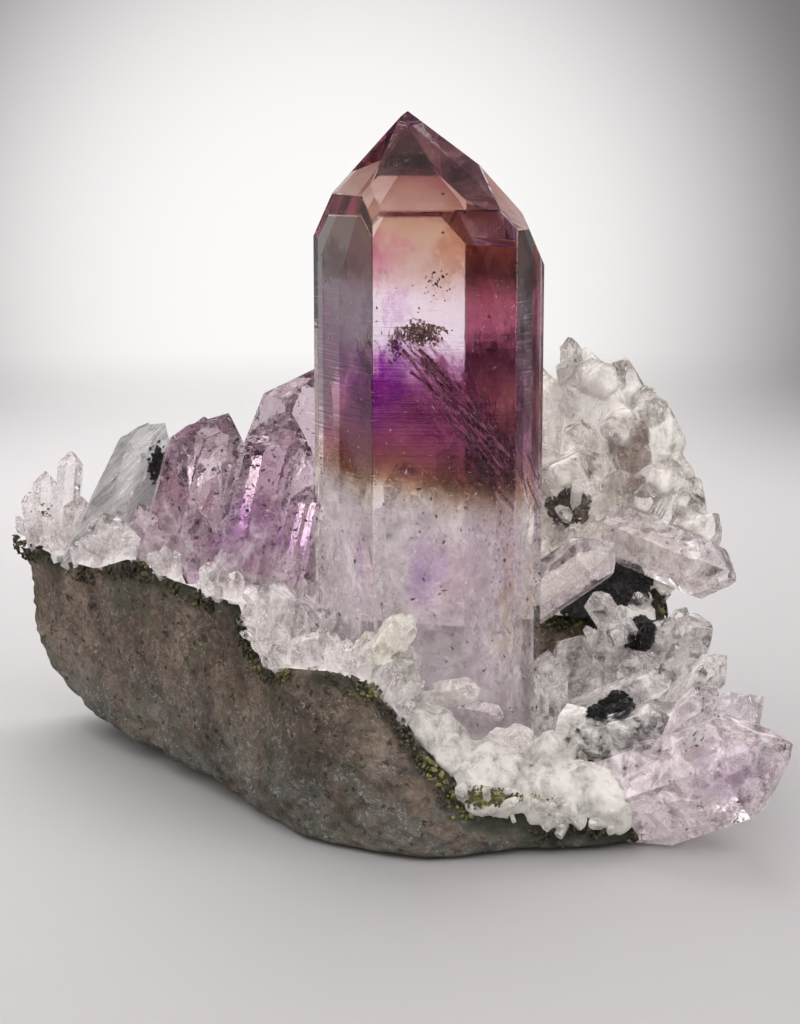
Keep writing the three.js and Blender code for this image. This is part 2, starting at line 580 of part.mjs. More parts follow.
/** The whole specimen, each piece kept clear of those before it. */
function specimen() {
  const group = new THREE.Group();
  const tallRoom = tallCrystal(GAP);
  group.add(piece("basalt_matrix", rock(0, 0).subtract(tallRoom), BASALT_LOOK));
  group.add(piece("phantom_crystal", tallCrystal(0), TALL_LOOK));
  const below = toSolid(new THREE.BoxGeometry(BELOW, BELOW, BELOW).translate(0, 0, CLEARANCE - BELOW / 2));
  const taken = [tallRoom, rock(GAP, GAP), rock(0, 0), below];
  for (const { name, parts, look } of CLUSTERS) {
    group.add(piece(name, largestBody(clearOf(cluster(parts, 0), taken)), look));
    taken.push(cluster(parts, GAP));
  }
  return group;
}

const group = specimen();
const extent = new THREE.Box3().setFromObject(group);
const origin = extent.getCenter(new THREE.Vector3()).setZ(extent.min.z);
for (const mesh of group.children) mesh.position.sub(origin);

export default group;
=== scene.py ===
"""Looks of the phantom amethyst specimen: the zoned crystal, the quartz around it and its basalt.

Shapes are worked out in millimetres in the frame of the CAD model (+Z up, the viewer looks along +Y)
and are scaled to metres when a piece is finished.
"""

import logging
import math
import random
from dataclasses import dataclass
from enum import Enum
from typing import Iterable, Mapping, Sequence, Union

import bmesh
import bpy
from mathutils import Matrix, Vector, noise
from mathutils.bvhtree import BVHTree


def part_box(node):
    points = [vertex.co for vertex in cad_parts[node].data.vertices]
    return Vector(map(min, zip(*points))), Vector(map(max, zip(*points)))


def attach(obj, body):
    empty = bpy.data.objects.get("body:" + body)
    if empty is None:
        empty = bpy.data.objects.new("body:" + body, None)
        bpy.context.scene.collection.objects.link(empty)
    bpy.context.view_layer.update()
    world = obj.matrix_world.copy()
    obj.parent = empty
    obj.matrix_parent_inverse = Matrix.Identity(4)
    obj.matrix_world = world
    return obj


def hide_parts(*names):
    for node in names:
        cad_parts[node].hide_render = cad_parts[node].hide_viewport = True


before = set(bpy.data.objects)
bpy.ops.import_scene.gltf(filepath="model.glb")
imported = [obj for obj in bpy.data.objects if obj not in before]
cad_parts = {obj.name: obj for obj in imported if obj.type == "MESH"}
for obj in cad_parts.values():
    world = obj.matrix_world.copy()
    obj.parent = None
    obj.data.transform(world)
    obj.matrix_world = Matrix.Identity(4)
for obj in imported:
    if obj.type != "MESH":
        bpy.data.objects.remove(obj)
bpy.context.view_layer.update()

LOG = logging.getLogger("specimen")
MM = 0.001
ROOT = "root"
QUARTZ_IOR = 1.544
PYRAMID_TILT = 51.8
PRISM_FACES = 6
FULL_TURN = 6.3
THINNEST = 0.05
MERGED = 0.002
IN_PLANE = math.radians(0.5)

Colour = tuple[float, float, float]
Term = Union["Value", float]


class Shape(Enum):
    """How the faces of a finished piece are shaded."""

    FACETED = False
    ROUNDED = True


class Value:
    """A number in a shader tree. Plain arithmetic on it adds Math nodes."""

    def __init__(self, shader: "Shader", socket: bpy.types.NodeSocket) -> None:
        """Keep the shader that the socket belongs to."""
        self.shader = shader
        self.socket = socket

    def maths(self, operation: str, first: Term, second: Term = 0.0) -> "Value":
        """Return the result of one Math node.

        Args:
            operation: The Math node's operation.
            first: Its first number.
            second: Its second number, where it takes one.

        Returns:
            The node's result.
        """
        node = self.shader.add("Math", {"operation": operation}, {0: first, 1: second})
        return Value(self.shader, node.outputs[0])

    def __add__(self, other: Term) -> "Value":
        """Return self + other."""
        return self.maths("ADD", self, other)

    __radd__ = __add__

    def __sub__(self, other: Term) -> "Value":
        """Return self - other."""
        return self.maths("SUBTRACT", self, other)

    def __rsub__(self, other: Term) -> "Value":
        """Return other - self."""
        return self.maths("SUBTRACT", other, self)

    def __mul__(self, other: Term) -> "Value":
        """Return self * other."""
        return self.maths("MULTIPLY", self, other)

    __rmul__ = __mul__

    def __truediv__(self, other: Term) -> "Value":
        """Return self / other."""
        return self.maths("DIVIDE", self, other)

    def __rtruediv__(self, other: Term) -> "Value":
        """Return other / self."""
        return self.maths("DIVIDE", other, self)

    def step(self, low: float, high: float) -> "Value":
        """Return a soft step.

        Args:
            low: Where it is 0.
            high: Where it is 1.

        Returns:
            0 on the low side, 1 on the high side and a soft rise between them.
        """
        settings = {"interpolation_type": "SMOOTHSTEP", "clamp": True}
        inputs = {"Value": self, "From Min": low, "From Max": high}
        return Value(self.shader, self.shader.add("MapRange", settings, inputs).outputs[0])


class Tree:
    """Adds nodes to a node tree."""

    def __init__(self, tree: bpy.types.NodeTree) -> None:
        """Start with an empty tree."""
        tree.nodes.clear()
        self.tree = tree

    def add(
        self,
        kind: str,
        settings: Mapping[str, object] | None = None,
        inputs: Mapping[Union[str, int], object] | None = None,
    ) -> bpy.types.Node:
        """Add a node of any kind.

        Args:
            kind: The node's type, without its ShaderNode prefix.
            settings: Properties that are set first. "stops" are a colour ramp's (place, colour) pairs.
            inputs: Numbers, colours, values or sockets, by the name or index of the input.

        Returns:
            The new node.
        """
        node = self.tree.nodes.new("ShaderNode" + kind)
        for key, setting in (settings or {}).items():
            if key == "stops":
                self._stops(node.color_ramp, setting)
            else:
                setattr(node, key, setting)
        for key, term in (inputs or {}).items():
            source = term.socket if isinstance(term, Value) else term
            if isinstance(source, bpy.types.NodeSocket):
                self.tree.links.new(source, node.inputs[key])
            elif isinstance(source, tuple) and len(node.inputs[key].default_value) == 4:
                node.inputs[key].default_value = (*source, 1.0)
            else:
                node.inputs[key].default_value = source
        return node

    @staticmethod
    def _stops(ramp: bpy.types.ColorRamp, stops: Sequence[tuple[float, Colour]]) -> None:
        """Give a colour ramp its stops.

        Args:
            ramp: The colour ramp.
            stops: Its (place, colour) pairs.
        """
        for _ in range(len(stops) - len(ramp.elements)):
            ramp.elements.new(1.0)
        for element, (place, colour) in zip(ramp.elements, stops):
            element.position = place
            element.color = (*colour, 1.0)

    def mix(self, first: object, second: object, factor: Term) -> bpy.types.NodeSocket:
        """Return a blend of two colours, from the first at 0 to the second at 1."""
        node = self.add("Mix", {"data_type": "RGBA"}, {0: factor, 6: first, 7: second})
        return node.outputs[2]

    def ramp(self, value: Value, stops: Sequence[tuple[float, Colour]]) -> bpy.types.NodeSocket:
        """Return the colours of a ramp read at a value."""
        return self.add("ValToRGB", {"stops": stops}, {0: value}).outputs[0]


class Shader(Tree):
    """Builds one material, with patterns over object coordinates in millimetres."""

    def __init__(self, name: str) -> None:
        """Make an empty material.

        Args:
            name: The material's name.
        """
        self.material = bpy.data.materials.new(name)
        self.material.use_nodes = True
        super().__init__(self.material.node_tree)
        self.output = self.add("OutputMaterial")
        place = self.add("TexCoord").outputs["Object"]
        self.place = self.vector("SCALE", place, Scale=1.0 / MM)
        self.pulls: dict[tuple[float, float], bpy.types.NodeSocket] = {}

    def vector(
        self, operation: str, first: object, second: object = None, **named: float
    ) -> bpy.types.NodeSocket:
        """Return the vector that a Vector Math node gives."""
        inputs = {0: first, **({} if second is None else {1: second}), **named}
        return self.add("VectorMath", {"operation": operation}, inputs).outputs["Vector"]

    def length(self, vector: bpy.types.NodeSocket) -> Value:
        """Return the length of a vector."""
        return Value(self, self.add("VectorMath", {"operation": "LENGTH"}, {0: vector}).outputs["Value"])

    def across(self) -> Value:
        """Return the place along X in millimetres."""
        return Value(self, self.add("SeparateXYZ", {}, {0: self.place}).outputs[0])

    def pulled(self, warp: float, folds: float) -> bpy.types.NodeSocket:
        """Return the place, pulled about in tongues.

        Args:
            warp: How far it is pulled, in millimetres.
            folds: How large the tongues are, in millimetres.

        Returns:
            The socket of the pulled place, made once.
        """
        if (warp, folds) not in self.pulls:
            inputs = {"Vector": self.place, "Scale": 1.0 / folds, "Detail": 3.0, "Roughness": 0.68}
            cloud = self.add("TexNoise", {}, inputs).outputs["Color"]
            pull = self.vector("SUBTRACT", cloud, (0.5, 0.5, 0.5))
            shift = self.vector("SCALE", pull, Scale=warp * 4.0)
            self.pulls[warp, folds] = self.vector("ADD", self.place, shift)
        return self.pulls[warp, folds]

    def blob(
        self,
        middle: Sequence[float],
        size: Sequence[float],
        turn: float = 0.0,
        warp: float = 2.6,
        folds: float = 3.0,
    ) -> Value:
        """Return 1 inside an ellipsoid with ragged, soft edges, and 0 outside.

        Args:
            middle: Its middle, in millimetres.
            size: Its half-sizes, in millimetres.
            turn: Its turn about Y, in degrees.
            warp: How far its edges are pulled about, in millimetres.
            folds: How large the tongues of its edge are, in millimetres.

        Returns:
            The mask.
        """
        offset = self.vector("SUBTRACT", self.pulled(warp, folds), tuple(middle))
        if turn:
            inputs = {"Vector": offset, "Rotation": (0.0, math.radians(-turn), 0.0)}
            offset = self.add("Mapping", {"vector_type": "VECTOR"}, inputs).outputs[0]
        shrunk = self.vector("MULTIPLY", offset, tuple(1.0 / part for part in size))
        return self.length(shrunk).step(1.15, 0.35)

    def drawn_out(self, sizes: Sequence[float], turn: float = 0.0) -> bpy.types.NodeSocket:
        """Return coordinates for a pattern of given sizes along X, Y and Z, turned about Y in degrees."""
        inputs = {"Vector": self.place, "Rotation": (0.0, math.radians(turn), 0.0), "Scale": tuple(sizes)}
        return self.add("Mapping", {"vector_type": "TEXTURE"}, inputs).outputs[0]

    def noise(
        self,
        size: float,
        detail: float = 4.0,
        rough: float = 0.5,
        warp: float = 0.0,
        place: bpy.types.NodeSocket | None = None,
    ) -> Value:
        """Return cloudy noise from 0 to 1.

        Args:
            size: The size of its largest features, in millimetres.
            detail: How many finer layers it has.
            rough: How strong they are.
            warp: How far it is distorted.
            place: The coordinates it reads, or None for the plain place.

        Returns:
            The noise.
        """
        inputs = {
            "Vector": place or self.place,
            "Scale": 1.0 / size,
            "Detail": detail,
            "Roughness": rough,
            "Distortion": warp,
        }
        return Value(self, self.add("TexNoise", {}, inputs).outputs[0])

    def attribute(self, name: str) -> Value:
        """Return a number stored on the piece's points."""
        return Value(self, self.add("Attribute", {"attribute_name": name}).outputs["Fac"])

    def height(self) -> Value:
        """Return the height above the table in millimetres."""
        return Value(self, self.add("SeparateXYZ", {}, {0: self.place}).outputs[2])

    def bump(self, height: Value, depth: float, strength: float = 1.0) -> bpy.types.NodeSocket:
        """Return the normal of a relief that is depth millimetres deep."""
        inputs = {"Height": height, "Distance": depth * MM, "Strength": strength}
        return self.add("Bump", {}, inputs).outputs[0]

    def principled(
        self,
        colour: object,
        roughness: Term,
        ior: float = 1.5,
        clear: float = 0.0,
        metal: float = 0.0,
        normal: bpy.types.NodeSocket | None = None,
    ) -> bpy.types.NodeSocket:
        """Return a Principled shader.

        Args:
            colour: Its base colour.
            roughness: Its roughness.
            ior: Its index of refraction.
            clear: How much light it lets through.
            metal: How metallic it is.
            normal: Its relief, or None for a smooth surface.

        Returns:
            The shader's socket.
        """
        inputs = {
            "Base Color": colour,
            "Roughness": roughness,
            "IOR": ior,
            "Transmission Weight": clear,
            "Metallic": metal,
        }
        if normal:
            inputs["Normal"] = normal
        return self.add("BsdfPrincipled", {}, inputs).outputs[0]

    def blend(self, first: object, second: object, factor: Term) -> bpy.types.NodeSocket:
        """Return a mix of two shaders, from the first at 0 to the second at 1."""
        return self.add("MixShader", {}, {0: factor, 1: first, 2: second}).outputs[0]

    def lamps_through(self, surface: object, tint: Colour) -> bpy.types.NodeSocket:
        """Return a surface that also lets the lamps' light on to what lies behind it.

        Args:
            surface: The surface as it is seen.
            tint: The colour of the light that it lets on.

        Returns:
            The shader's socket.
        """
        lamp = self.add("LightPath").outputs["Is Shadow Ray"]
        passing = self.add("BsdfTransparent", {}, {"Color": tint}).outputs[0]
        return self.blend(surface, passing, lamp)

    def finish(
        self, surface: object, absorb: Colour | None = None, density: float = 0.0
    ) -> bpy.types.Material:
        """Connect the surface, and the absorption inside, to the material's output.

        Args:
            surface: The surface shader.
            absorb: The colour that passes best through the inside, or None for no absorption.
            density: How much the inside absorbs, per metre.

        Returns:
            The finished material.
        """
        self.tree.links.new(surface, self.output.inputs["Surface"])
        if absorb is not None:
            inside = self.add("VolumeAbsorption", {}, {"Color": absorb, "Density": density})
            self.tree.links.new(inside.outputs[0], self.output.inputs["Volume"])
        return self.material


@dataclass(frozen=True)
class Quartz:
    """Small quartz and amethyst crystals: milky at the foot and clear at the tips.

    The pieces carry an attribute, lift, with each point's distance from the stone in millimetres.
    """

    name: str
    tint: Colour = (0.965, 0.965, 0.96)
    milk: Colour = (0.6, 0.585, 0.575)
    root_milk: float = 0.5
    tip_milk: float = -0.1
    clear_from: float = 5.0
    cloud_size: float = 2.6
    absorb: Colour = (0.86, 0.82, 0.83)
    density: float = 50.0
    frost: float = 0.35
    contrast: float = 2.6
    lamp_tint: Colour = (0.76, 0.75, 0.75)
    wave_size: float = 1.6
    wave_depth: float = 0.05
    streaks: tuple[float, float, float] | None = None
    streak_turn: float = 0.0
    patch: Colour = (0.7, 0.45, 0.8)
    patch_middle: Colour | None = None
    patch_size: Colour = (6.0, 9.0, 6.0)

    def material(self) -> bpy.types.Material:
        """Return the finish as a material.

        Returns:
            The material.
        """
        shader = Shader(self.name)
        cloud = shader.noise(self.cloud_size, 4.0, 0.7, 0.5)
        rooted = shader.attribute("lift").step(self.clear_from, 0.3)
        share = (cloud - 0.5) * self.contrast + self.tip_milk + (self.root_milk - self.tip_milk) * rooted
        if self.streaks:
            lines = shader.noise(1.0, 3.0, 0.7, 0.2, shader.drawn_out(self.streaks, self.streak_turn))
            share = share * 0.5 + lines.step(0.4, 0.62) * 0.75
        tint = self.tint
        if self.patch_middle:
            patched = shader.blob(self.patch_middle, self.patch_size)
            tint = shader.mix(self.tint, self.patch, patched)
        relief = shader.bump(shader.noise(self.wave_size, 2.0, 0.6, 0.4), self.wave_depth)
        clear = shader.principled(tint, 0.0, QUARTZ_IOR, 1.0, normal=relief)
        cloudy = shader.mix(self.milk, tint, cloud.step(0.5, 0.75) * 0.35)
        milky = shader.principled(cloudy, self.frost, QUARTZ_IOR, 0.4, normal=relief)
        surface = shader.lamps_through(shader.blend(clear, milky, share), self.lamp_tint)
        return shader.finish(surface, self.absorb, self.density)


@dataclass(frozen=True)
class PhantomColours:
    """The colours in the tall crystal: smoky and rose at the tip, violet below, and clear at the foot.

    Places are given in millimetres from the foot of the crystal's axis.
    """

    foot: Colour
    lean: float = 0.17
    stray: float = 7.0
    top: float = 84.0
    stops: tuple[tuple[float, Colour], ...] = (
        (0.0, (0.985, 0.985, 0.985)),
        (37.0, (0.98, 0.975, 0.98)),
        (39.4, (0.9, 0.85, 0.8)),
        (40.6, (0.66, 0.5, 0.38)),
        (43.0, (0.64, 0.38, 0.46)),
        (47.0, (0.72, 0.45, 0.62)),
        (53.0, (0.83, 0.65, 0.8)),
        (57.0, (0.97, 0.93, 0.97)),
        (62.5, (0.97, 0.92, 0.95)),
        (66.0, (0.88, 0.78, 0.76)),
        (71.0, (0.86, 0.74, 0.67)),
        (76.0, (0.66, 0.42, 0.42)),
        (84.0, (0.56, 0.3, 0.34)),
    )
    patches: tuple[tuple[Colour, Colour, float, Colour], ...] = (
        ((-9.0, 0.0, 56.0), (4.6, 12.0, 10.0), 0.0, (0.84, 0.58, 0.74)),
        ((12.0, 2.0, 57.0), (5.4, 13.0, 16.0), 0.0, (0.96, 0.86, 0.9)),
        ((12.5, 0.0, 67.5), (5.0, 14.0, 2.6), 0.0, (0.82, 0.68, 0.66)),
        ((12.0, 0.0, 60.6), (5.0, 14.0, 2.0), 0.0, (0.97, 0.88, 0.92)),
        ((12.5, 0.0, 56.0), (5.0, 14.0, 1.8), 0.0, (0.72, 0.52, 0.62)),
        ((12.5, 0.0, 50.5), (5.0, 14.0, 2.2), 0.0, (0.95, 0.83, 0.83)),
        # Painted shade: this dark patch darkens the crystal's right-front face.
        ((16.4, -6.5, 57.0), (4.0, 4.6, 18.0), 0.0, (0.34, 0.22, 0.22)),
        ((-6.5, 0.0, 66.5), (5.0, 12.0, 2.6), 0.0, (0.52, 0.4, 0.37)),
        ((-1.5, -1.0, 67.0), (3.6, 9.0, 4.0), 0.0, (0.86, 0.55, 0.66)),
        ((6.6, 0.0, 67.5), (2.6, 9.0, 7.0), 20.0, (0.78, 0.54, 0.44)),
        ((0.0, -2.0, 61.5), (2.2, 8.0, 3.0), 0.0, (0.8, 0.56, 0.84)),
        ((-0.9, -2.0, 52.0), (3.4, 10.0, 7.4), 14.0, (0.36, 0.02, 0.46)),
        ((3.8, -1.0, 48.6), (6.8, 10.0, 5.0), 30.0, (0.34, 0.05, 0.2)),
        ((-7.5, 0.0, 49.0), (2.6, 9.0, 9.0), 0.0, (0.76, 0.62, 0.66)),
        ((5.0, 0.0, 28.0), (6.5, 10.0, 9.0), 0.0, (0.86, 0.74, 0.8)),
        ((2.8, 0.0, 29.0), (3.0, 9.0, 6.5), 5.0, (0.66, 0.5, 0.84)),
        ((13.5, 0.0, 24.0), (1.4, 9.0, 14.0), 0.0, (0.88, 0.8, 0.68)),
        ((3.5, -2.0, 80.0), (4.0, 6.0, 4.0), 0.0, (0.7, 0.5, 0.5)),
    )

    def at(self, place: Sequence[float]) -> tuple[float, ...]:
        """Return a place in the frame of the CAD model."""
        return tuple(a + b for a, b in zip(self.foot, place))

    def colour(self, shader: Shader) -> bpy.types.NodeSocket:
        """Return the colour that one of the crystal's outlines gives the light that crosses it.

        Args:
            shader: The material that is being made.

        Returns:
            The colour's socket.
        """
        cloud = shader.noise(7.0, 3.0, 0.65, 0.8)
        level = shader.height() + (shader.across() - self.foot[0]) * self.lean + (cloud - 0.5) * self.stray
        tone = shader.ramp(level / self.top, [(z / self.top, colour) for z, colour in self.stops])
        for middle, size, turn, colour in self.patches:
            tone = shader.mix(tone, colour, shader.blob(self.at(middle), size, turn))
        return tone


@dataclass(frozen=True)
class PhantomQuartz:
    """The tall crystal's own clear quartz, with growth lines across its faces."""

    colours: PhantomColours
    name: str = "phantom_quartz"
    tint: Colour = (0.985, 0.98, 0.98)
    stain: float = 0.5
    absorb: Colour = (0.86, 0.84, 0.85)
    density: float = 12.0
    line_depth: float = 0.05

    def material(self) -> bpy.types.Material:
        """Return the finish as a material.

        Returns:
            The material.
        """
        shader = Shader(self.name)
        lines = shader.noise(1.0, 2.0, 0.7, 0.0, shader.drawn_out((40.0, 40.0, 0.4)))
        patch = shader.noise(8.0, 3.0, 0.55, 0.3).step(0.34, 0.6)
        prism = shader.height().step(68.0, 64.0) * shader.height().step(30.0, 48.0)
        relief = lines * patch * prism
        tone = shader.mix(self.tint, self.colours.colour(shader), self.stain)
        normal = shader.bump(relief, self.line_depth)
        surface = shader.principled(tone, 0.0, QUARTZ_IOR, 1.0, normal=normal)
        surface = shader.lamps_through(surface, (0.82, 0.81, 0.81))
        return shader.finish(surface, self.absorb, self.density)


@dataclass(frozen=True)
class PhantomVeil:
    """An earlier outline of the crystal: it tints light, and is milky below and glittery in the middle."""

    colours: PhantomColours
    turn: int
    milk: Colour = (0.56, 0.5, 0.53)
    milk_light: Colour = (0.95, 0.91, 0.93)
    milk_top: float = 39.5
    milk_share: float = 0.16
    lobes: tuple[tuple[Colour, Colour, float], ...] = (
        ((-5.9, 0.0, 26.0), (4.2, 12.0, 11.5), 0.75),
        ((3.4, 0.0, 27.0), (6.0, 12.0, 11.5), 0.45),
        ((12.5, 0.0, 20.0), (4.6, 12.0, 8.0), 0.5),
    )
    strength: float = 1.5
    band_middle: Colour = (8.0, 0.0, 48.5)
    band_size: Colour = (13.0, 14.0, 4.6)
    band_turn: float = 50.0

    @property
    def name(self) -> str:
        """Return the finish's name."""
        return f"phantom_veil_{self.turn}"

    def material(self) -> bpy.types.Material:
        """Return the finish as a material.

        Returns:
            The material.
        """
        shader = Shader(self.name)
        streaks = shader.noise(1.0, 4.0, 0.72, 0.9, shader.drawn_out((5.0, 1.4, 0.9), self.band_turn))
        band = shader.blob(self.colours.at(self.band_middle), self.band_size, self.band_turn)
        veined = band * streaks.step(0.46, 0.53)
        tone = shader.mix(self.colours.colour(shader), (0.4, 0.14, 0.24), veined * 0.8)
        tone = shader.add("Gamma", {}, {"Color": tone, "Gamma": self.strength}).outputs[0]
        tinted = shader.principled(tone, 0.0, 1.0, 1.0)
        rosy = shader.mix((0.8, 0.56, 0.7), (0.3, 0.05, 0.16), streaks.step(0.5, 0.62))
        broken = shader.principled(rosy, 0.3, metal=0.4)
        surface = shader.blend(tinted, broken, band * streaks.step(0.555, 0.585) * 0.85)
        cloud = shader.noise(2.6, 5.0, 0.72, 0.6)
        low = (shader.height() + (cloud - 0.5) * 6.0).step(self.milk_top, self.milk_top - 4.0)
        lobes = sum(shader.blob(self.colours.at(middle), size) * part for middle, size, part in self.lobes)
        rooted = shader.height().step(24.0, 12.0) * 0.35
        share = low * (cloud.step(0.38, 0.66) * 0.7 + 0.3) * (self.milk_share + lobes)
        pale = shader.mix(self.milk, self.milk_light, cloud.step(0.42, 0.68))
        milky = shader.principled(shader.vector("MULTIPLY", pale, tone), 0.55, 1.1, 0.3)
        surface = shader.blend(surface, milky, share + rooted)
        return shader.finish(shader.lamps_through(surface, (0.9, 0.9, 0.9)))


@dataclass(frozen=True)
class Glint:
    """Tiny cracks and scales inside quartz that flash as they catch the light."""

    name: str
    tint: Colour
    shade: Colour
    metal: float = 0.6
    roughness: float = 0.22

    def material(self) -> bpy.types.Material:
        """Return the finish as a material.

        Returns:
            The material.
        """
        shader = Shader(self.name)
        tone = shader.noise(1.3, 2.0, 0.5).step(0.35, 0.65)
        colour = shader.mix(self.shade, self.tint, tone)
        surface = shader.principled(colour, self.roughness, metal=self.metal)
        return shader.finish(shader.lamps_through(surface, self.tint))


@dataclass(frozen=True)
class Plate:
    """Thin plates inside the crystal that darken what lies behind them and shine at their edges."""

    name: str
    through: Colour
    gloss: Colour

    def material(self) -> bpy.types.Material:
        """Return the finish as a material.

        Returns:
            The material.
        """
        shader = Shader(self.name)
        through = shader.add("BsdfTransparent", {}, {"Color": self.through}).outputs[0]
        shine = shader.principled(self.gloss, 0.25)
        streaks = shader.noise(1.0, 4.0, 0.72, 0.5, shader.drawn_out((5.0, 0.5, 0.5), 50.0))
        return shader.finish(shader.blend(through, shine, streaks.step(0.5, 0.6) * 0.5 + 0.05))


@dataclass(frozen=True)
class RoseZone:
    """A cloudy wine-red zone with level bands, from dark maroon to rose."""

    name: str = "rose_zone"
    low: float = 40.0
    high: float = 74.0
    bands: tuple[tuple[float, Colour], ...] = (
        (40.0, (0.08, 0.02, 0.02)),
        (44.0, (0.08, 0.015, 0.025)),
        (49.5, (0.4, 0.17, 0.18)),
        (52.5, (0.16, 0.045, 0.065)),
        (55.0, (0.08, 0.012, 0.035)),
        (58.0, (0.46, 0.19, 0.28)),
        (61.5, (0.4, 0.15, 0.2)),
        (64.8, (0.09, 0.03, 0.035)),
        (68.0, (0.2, 0.07, 0.065)),
        (73.0, (0.34, 0.13, 0.12)),
    )

    def material(self) -> bpy.types.Material:
        """Return the finish as a material.

        Returns:
            The material.
        """
        shader = Shader(self.name)
        cloud = shader.noise(5.0, 4.0, 0.65, 0.6)
        lines = shader.noise(1.0, 3.0, 0.7, 0.1, shader.drawn_out((14.0, 14.0, 0.35)))
        level = shader.height() + (cloud - 0.5) * 5.0 + (lines - 0.5) * 2.4
        tall = self.high - self.low
        stops = [((z - self.low) / tall, colour) for z, colour in self.bands]
        tone = shader.ramp((level - self.low) / tall, stops)
        surface = shader.principled(tone, 0.35, 1.2)
        passing = shader.add("BsdfTransparent", {}, {"Color": (0.9, 0.7, 0.76)}).outputs[0]
        lower = shader.height().step(self.low, self.low + 5.0)
        upper = shader.height().step(self.high, self.high - 3.0)
        share = lower * upper * (0.35 + 0.45 * cloud.step(0.35, 0.6))
        return shader.finish(shader.blend(passing, surface, share))


@dataclass(frozen=True)
class Grain:
    """Dark grains with brighter patches: green epidote with yellow-green patches, and also the grains that
    paint the shade in hollows.
    """

    name: str
    dark: Colour
    middle: Colour
    bright: Colour
    patch_size: float = 6.0
    roughness: float = 0.45

    def material(self) -> bpy.types.Material:
        """Return the finish as a material.

        Returns:
            The material.
        """
        shader = Shader(self.name)
        patch = shader.noise(self.patch_size, 3.0, 0.6, 0.5)
        fine = shader.noise(0.7, 3.0, 0.6)
        tone = shader.ramp(
            patch * 0.65 + fine * 0.35, [(0.38, self.dark), (0.54, self.middle), (0.66, self.bright)]
        )
        return shader.finish(shader.principled(tone, self.roughness, normal=shader.bump(fine, 0.15)))


@dataclass(frozen=True)
class Basalt:
    """Broken basalt: brown-grey, with pale grains, olive stains and dark contact to the quartz.

    The stone carries an attribute, crust, with each point's distance from the quartz in millimetres.
    """

    name: str = "broken_basalt"

    def material(self) -> bpy.types.Material:
        """Return the finish as a material.

        Returns:
            The material.
        """
        shader = Shader(self.name)
        broad = shader.noise(14.0, 5.0, 0.62, 0.6)
        grain = shader.noise(0.9, 7.0, 0.78)
        body = shader.ramp(
            broad * 0.55 + grain * 0.45,
            [(0.38, (0.045, 0.034, 0.025)), (0.5, (0.155, 0.114, 0.085)), (0.62, (0.38, 0.29, 0.225))],
        )
        olive = shader.noise(8.0, 6.0, 0.65, 0.9)
        body = shader.mix(body, (0.115, 0.12, 0.07), olive.step(0.5, 0.64) * 0.65)
        green = shader.height().step(18.0, 3.0) * shader.noise(5.0, 5.0, 0.6, 0.5).step(0.35, 0.6)
        body = shader.mix(body, (0.19, 0.205, 0.185), green * 0.65)
        flecks = shader.noise(0.55, 3.0, 0.7, 0.8).step(0.53, 0.64)
        swarms = shader.noise(5.0, 4.0, 0.7, 0.6).step(0.4, 0.62)
        body = shader.mix(body, (0.5, 0.44, 0.37), flecks * swarms * 0.75)
        # Pits: dents in the relief that are also painted near black, as painted shade in the pits.
        shaded_pits = shader.noise(1.2, 3.0, 0.65).step(0.42, 0.3)
        body = shader.mix(body, (0.022, 0.018, 0.014), shaded_pits * 0.75)
        contact = shader.attribute("crust").step(3.2, 0.8) * olive.step(0.3, 0.5)
        body = shader.mix(body, (0.03, 0.035, 0.018), contact * 0.85)
        relief = grain * 1.3 + broad * 1.2 - shaded_pits * 0.6
        surface = shader.principled(body, 0.55 + 0.3 * grain, normal=shader.bump(relief, 0.9))
        return shader.finish(surface)


class View:
    """The photograph's camera, from the foot of the tall crystal's axis, in millimetres."""

    width: int = 800
    height: int = 1024
    lens: float = 80.5
    frame_height: float = 36.0
    place: Vector = Vector((0.0, -276.0, 88.0))
    pitch: float = 10.78

    @classmethod
    def ray(cls, x: float, y: float) -> Vector:
        """Return the direction in which a pixel of the photograph looks.

        Args:
            x: The pixel's column.
            y: The pixel's row.

        Returns:
            The direction, one long.
        """
        focal = cls.lens / cls.frame_height * cls.height
        look = Vector(((x - cls.width / 2) / focal, 1.0, (cls.height / 2 - y) / focal))
        look.rotate(Matrix.Rotation(math.radians(-cls.pitch), 3, "X"))
        return look.normalized()

    @classmethod
    def pixel(cls, place: Vector) -> tuple[float, float]:
        """Return the pixel of the photograph at which a place lies.

        Args:
            place: The place, from the foot of the tall crystal's axis.

        Returns:
            Its column and row.
        """
        focal = cls.lens / cls.frame_height * cls.height
        look = place - cls.place
        look.rotate(Matrix.Rotation(math.radians(cls.pitch), 3, "X"))
        return cls.width / 2 + focal * look.x / look.y, cls.height / 2 - focal * look.z / look.y


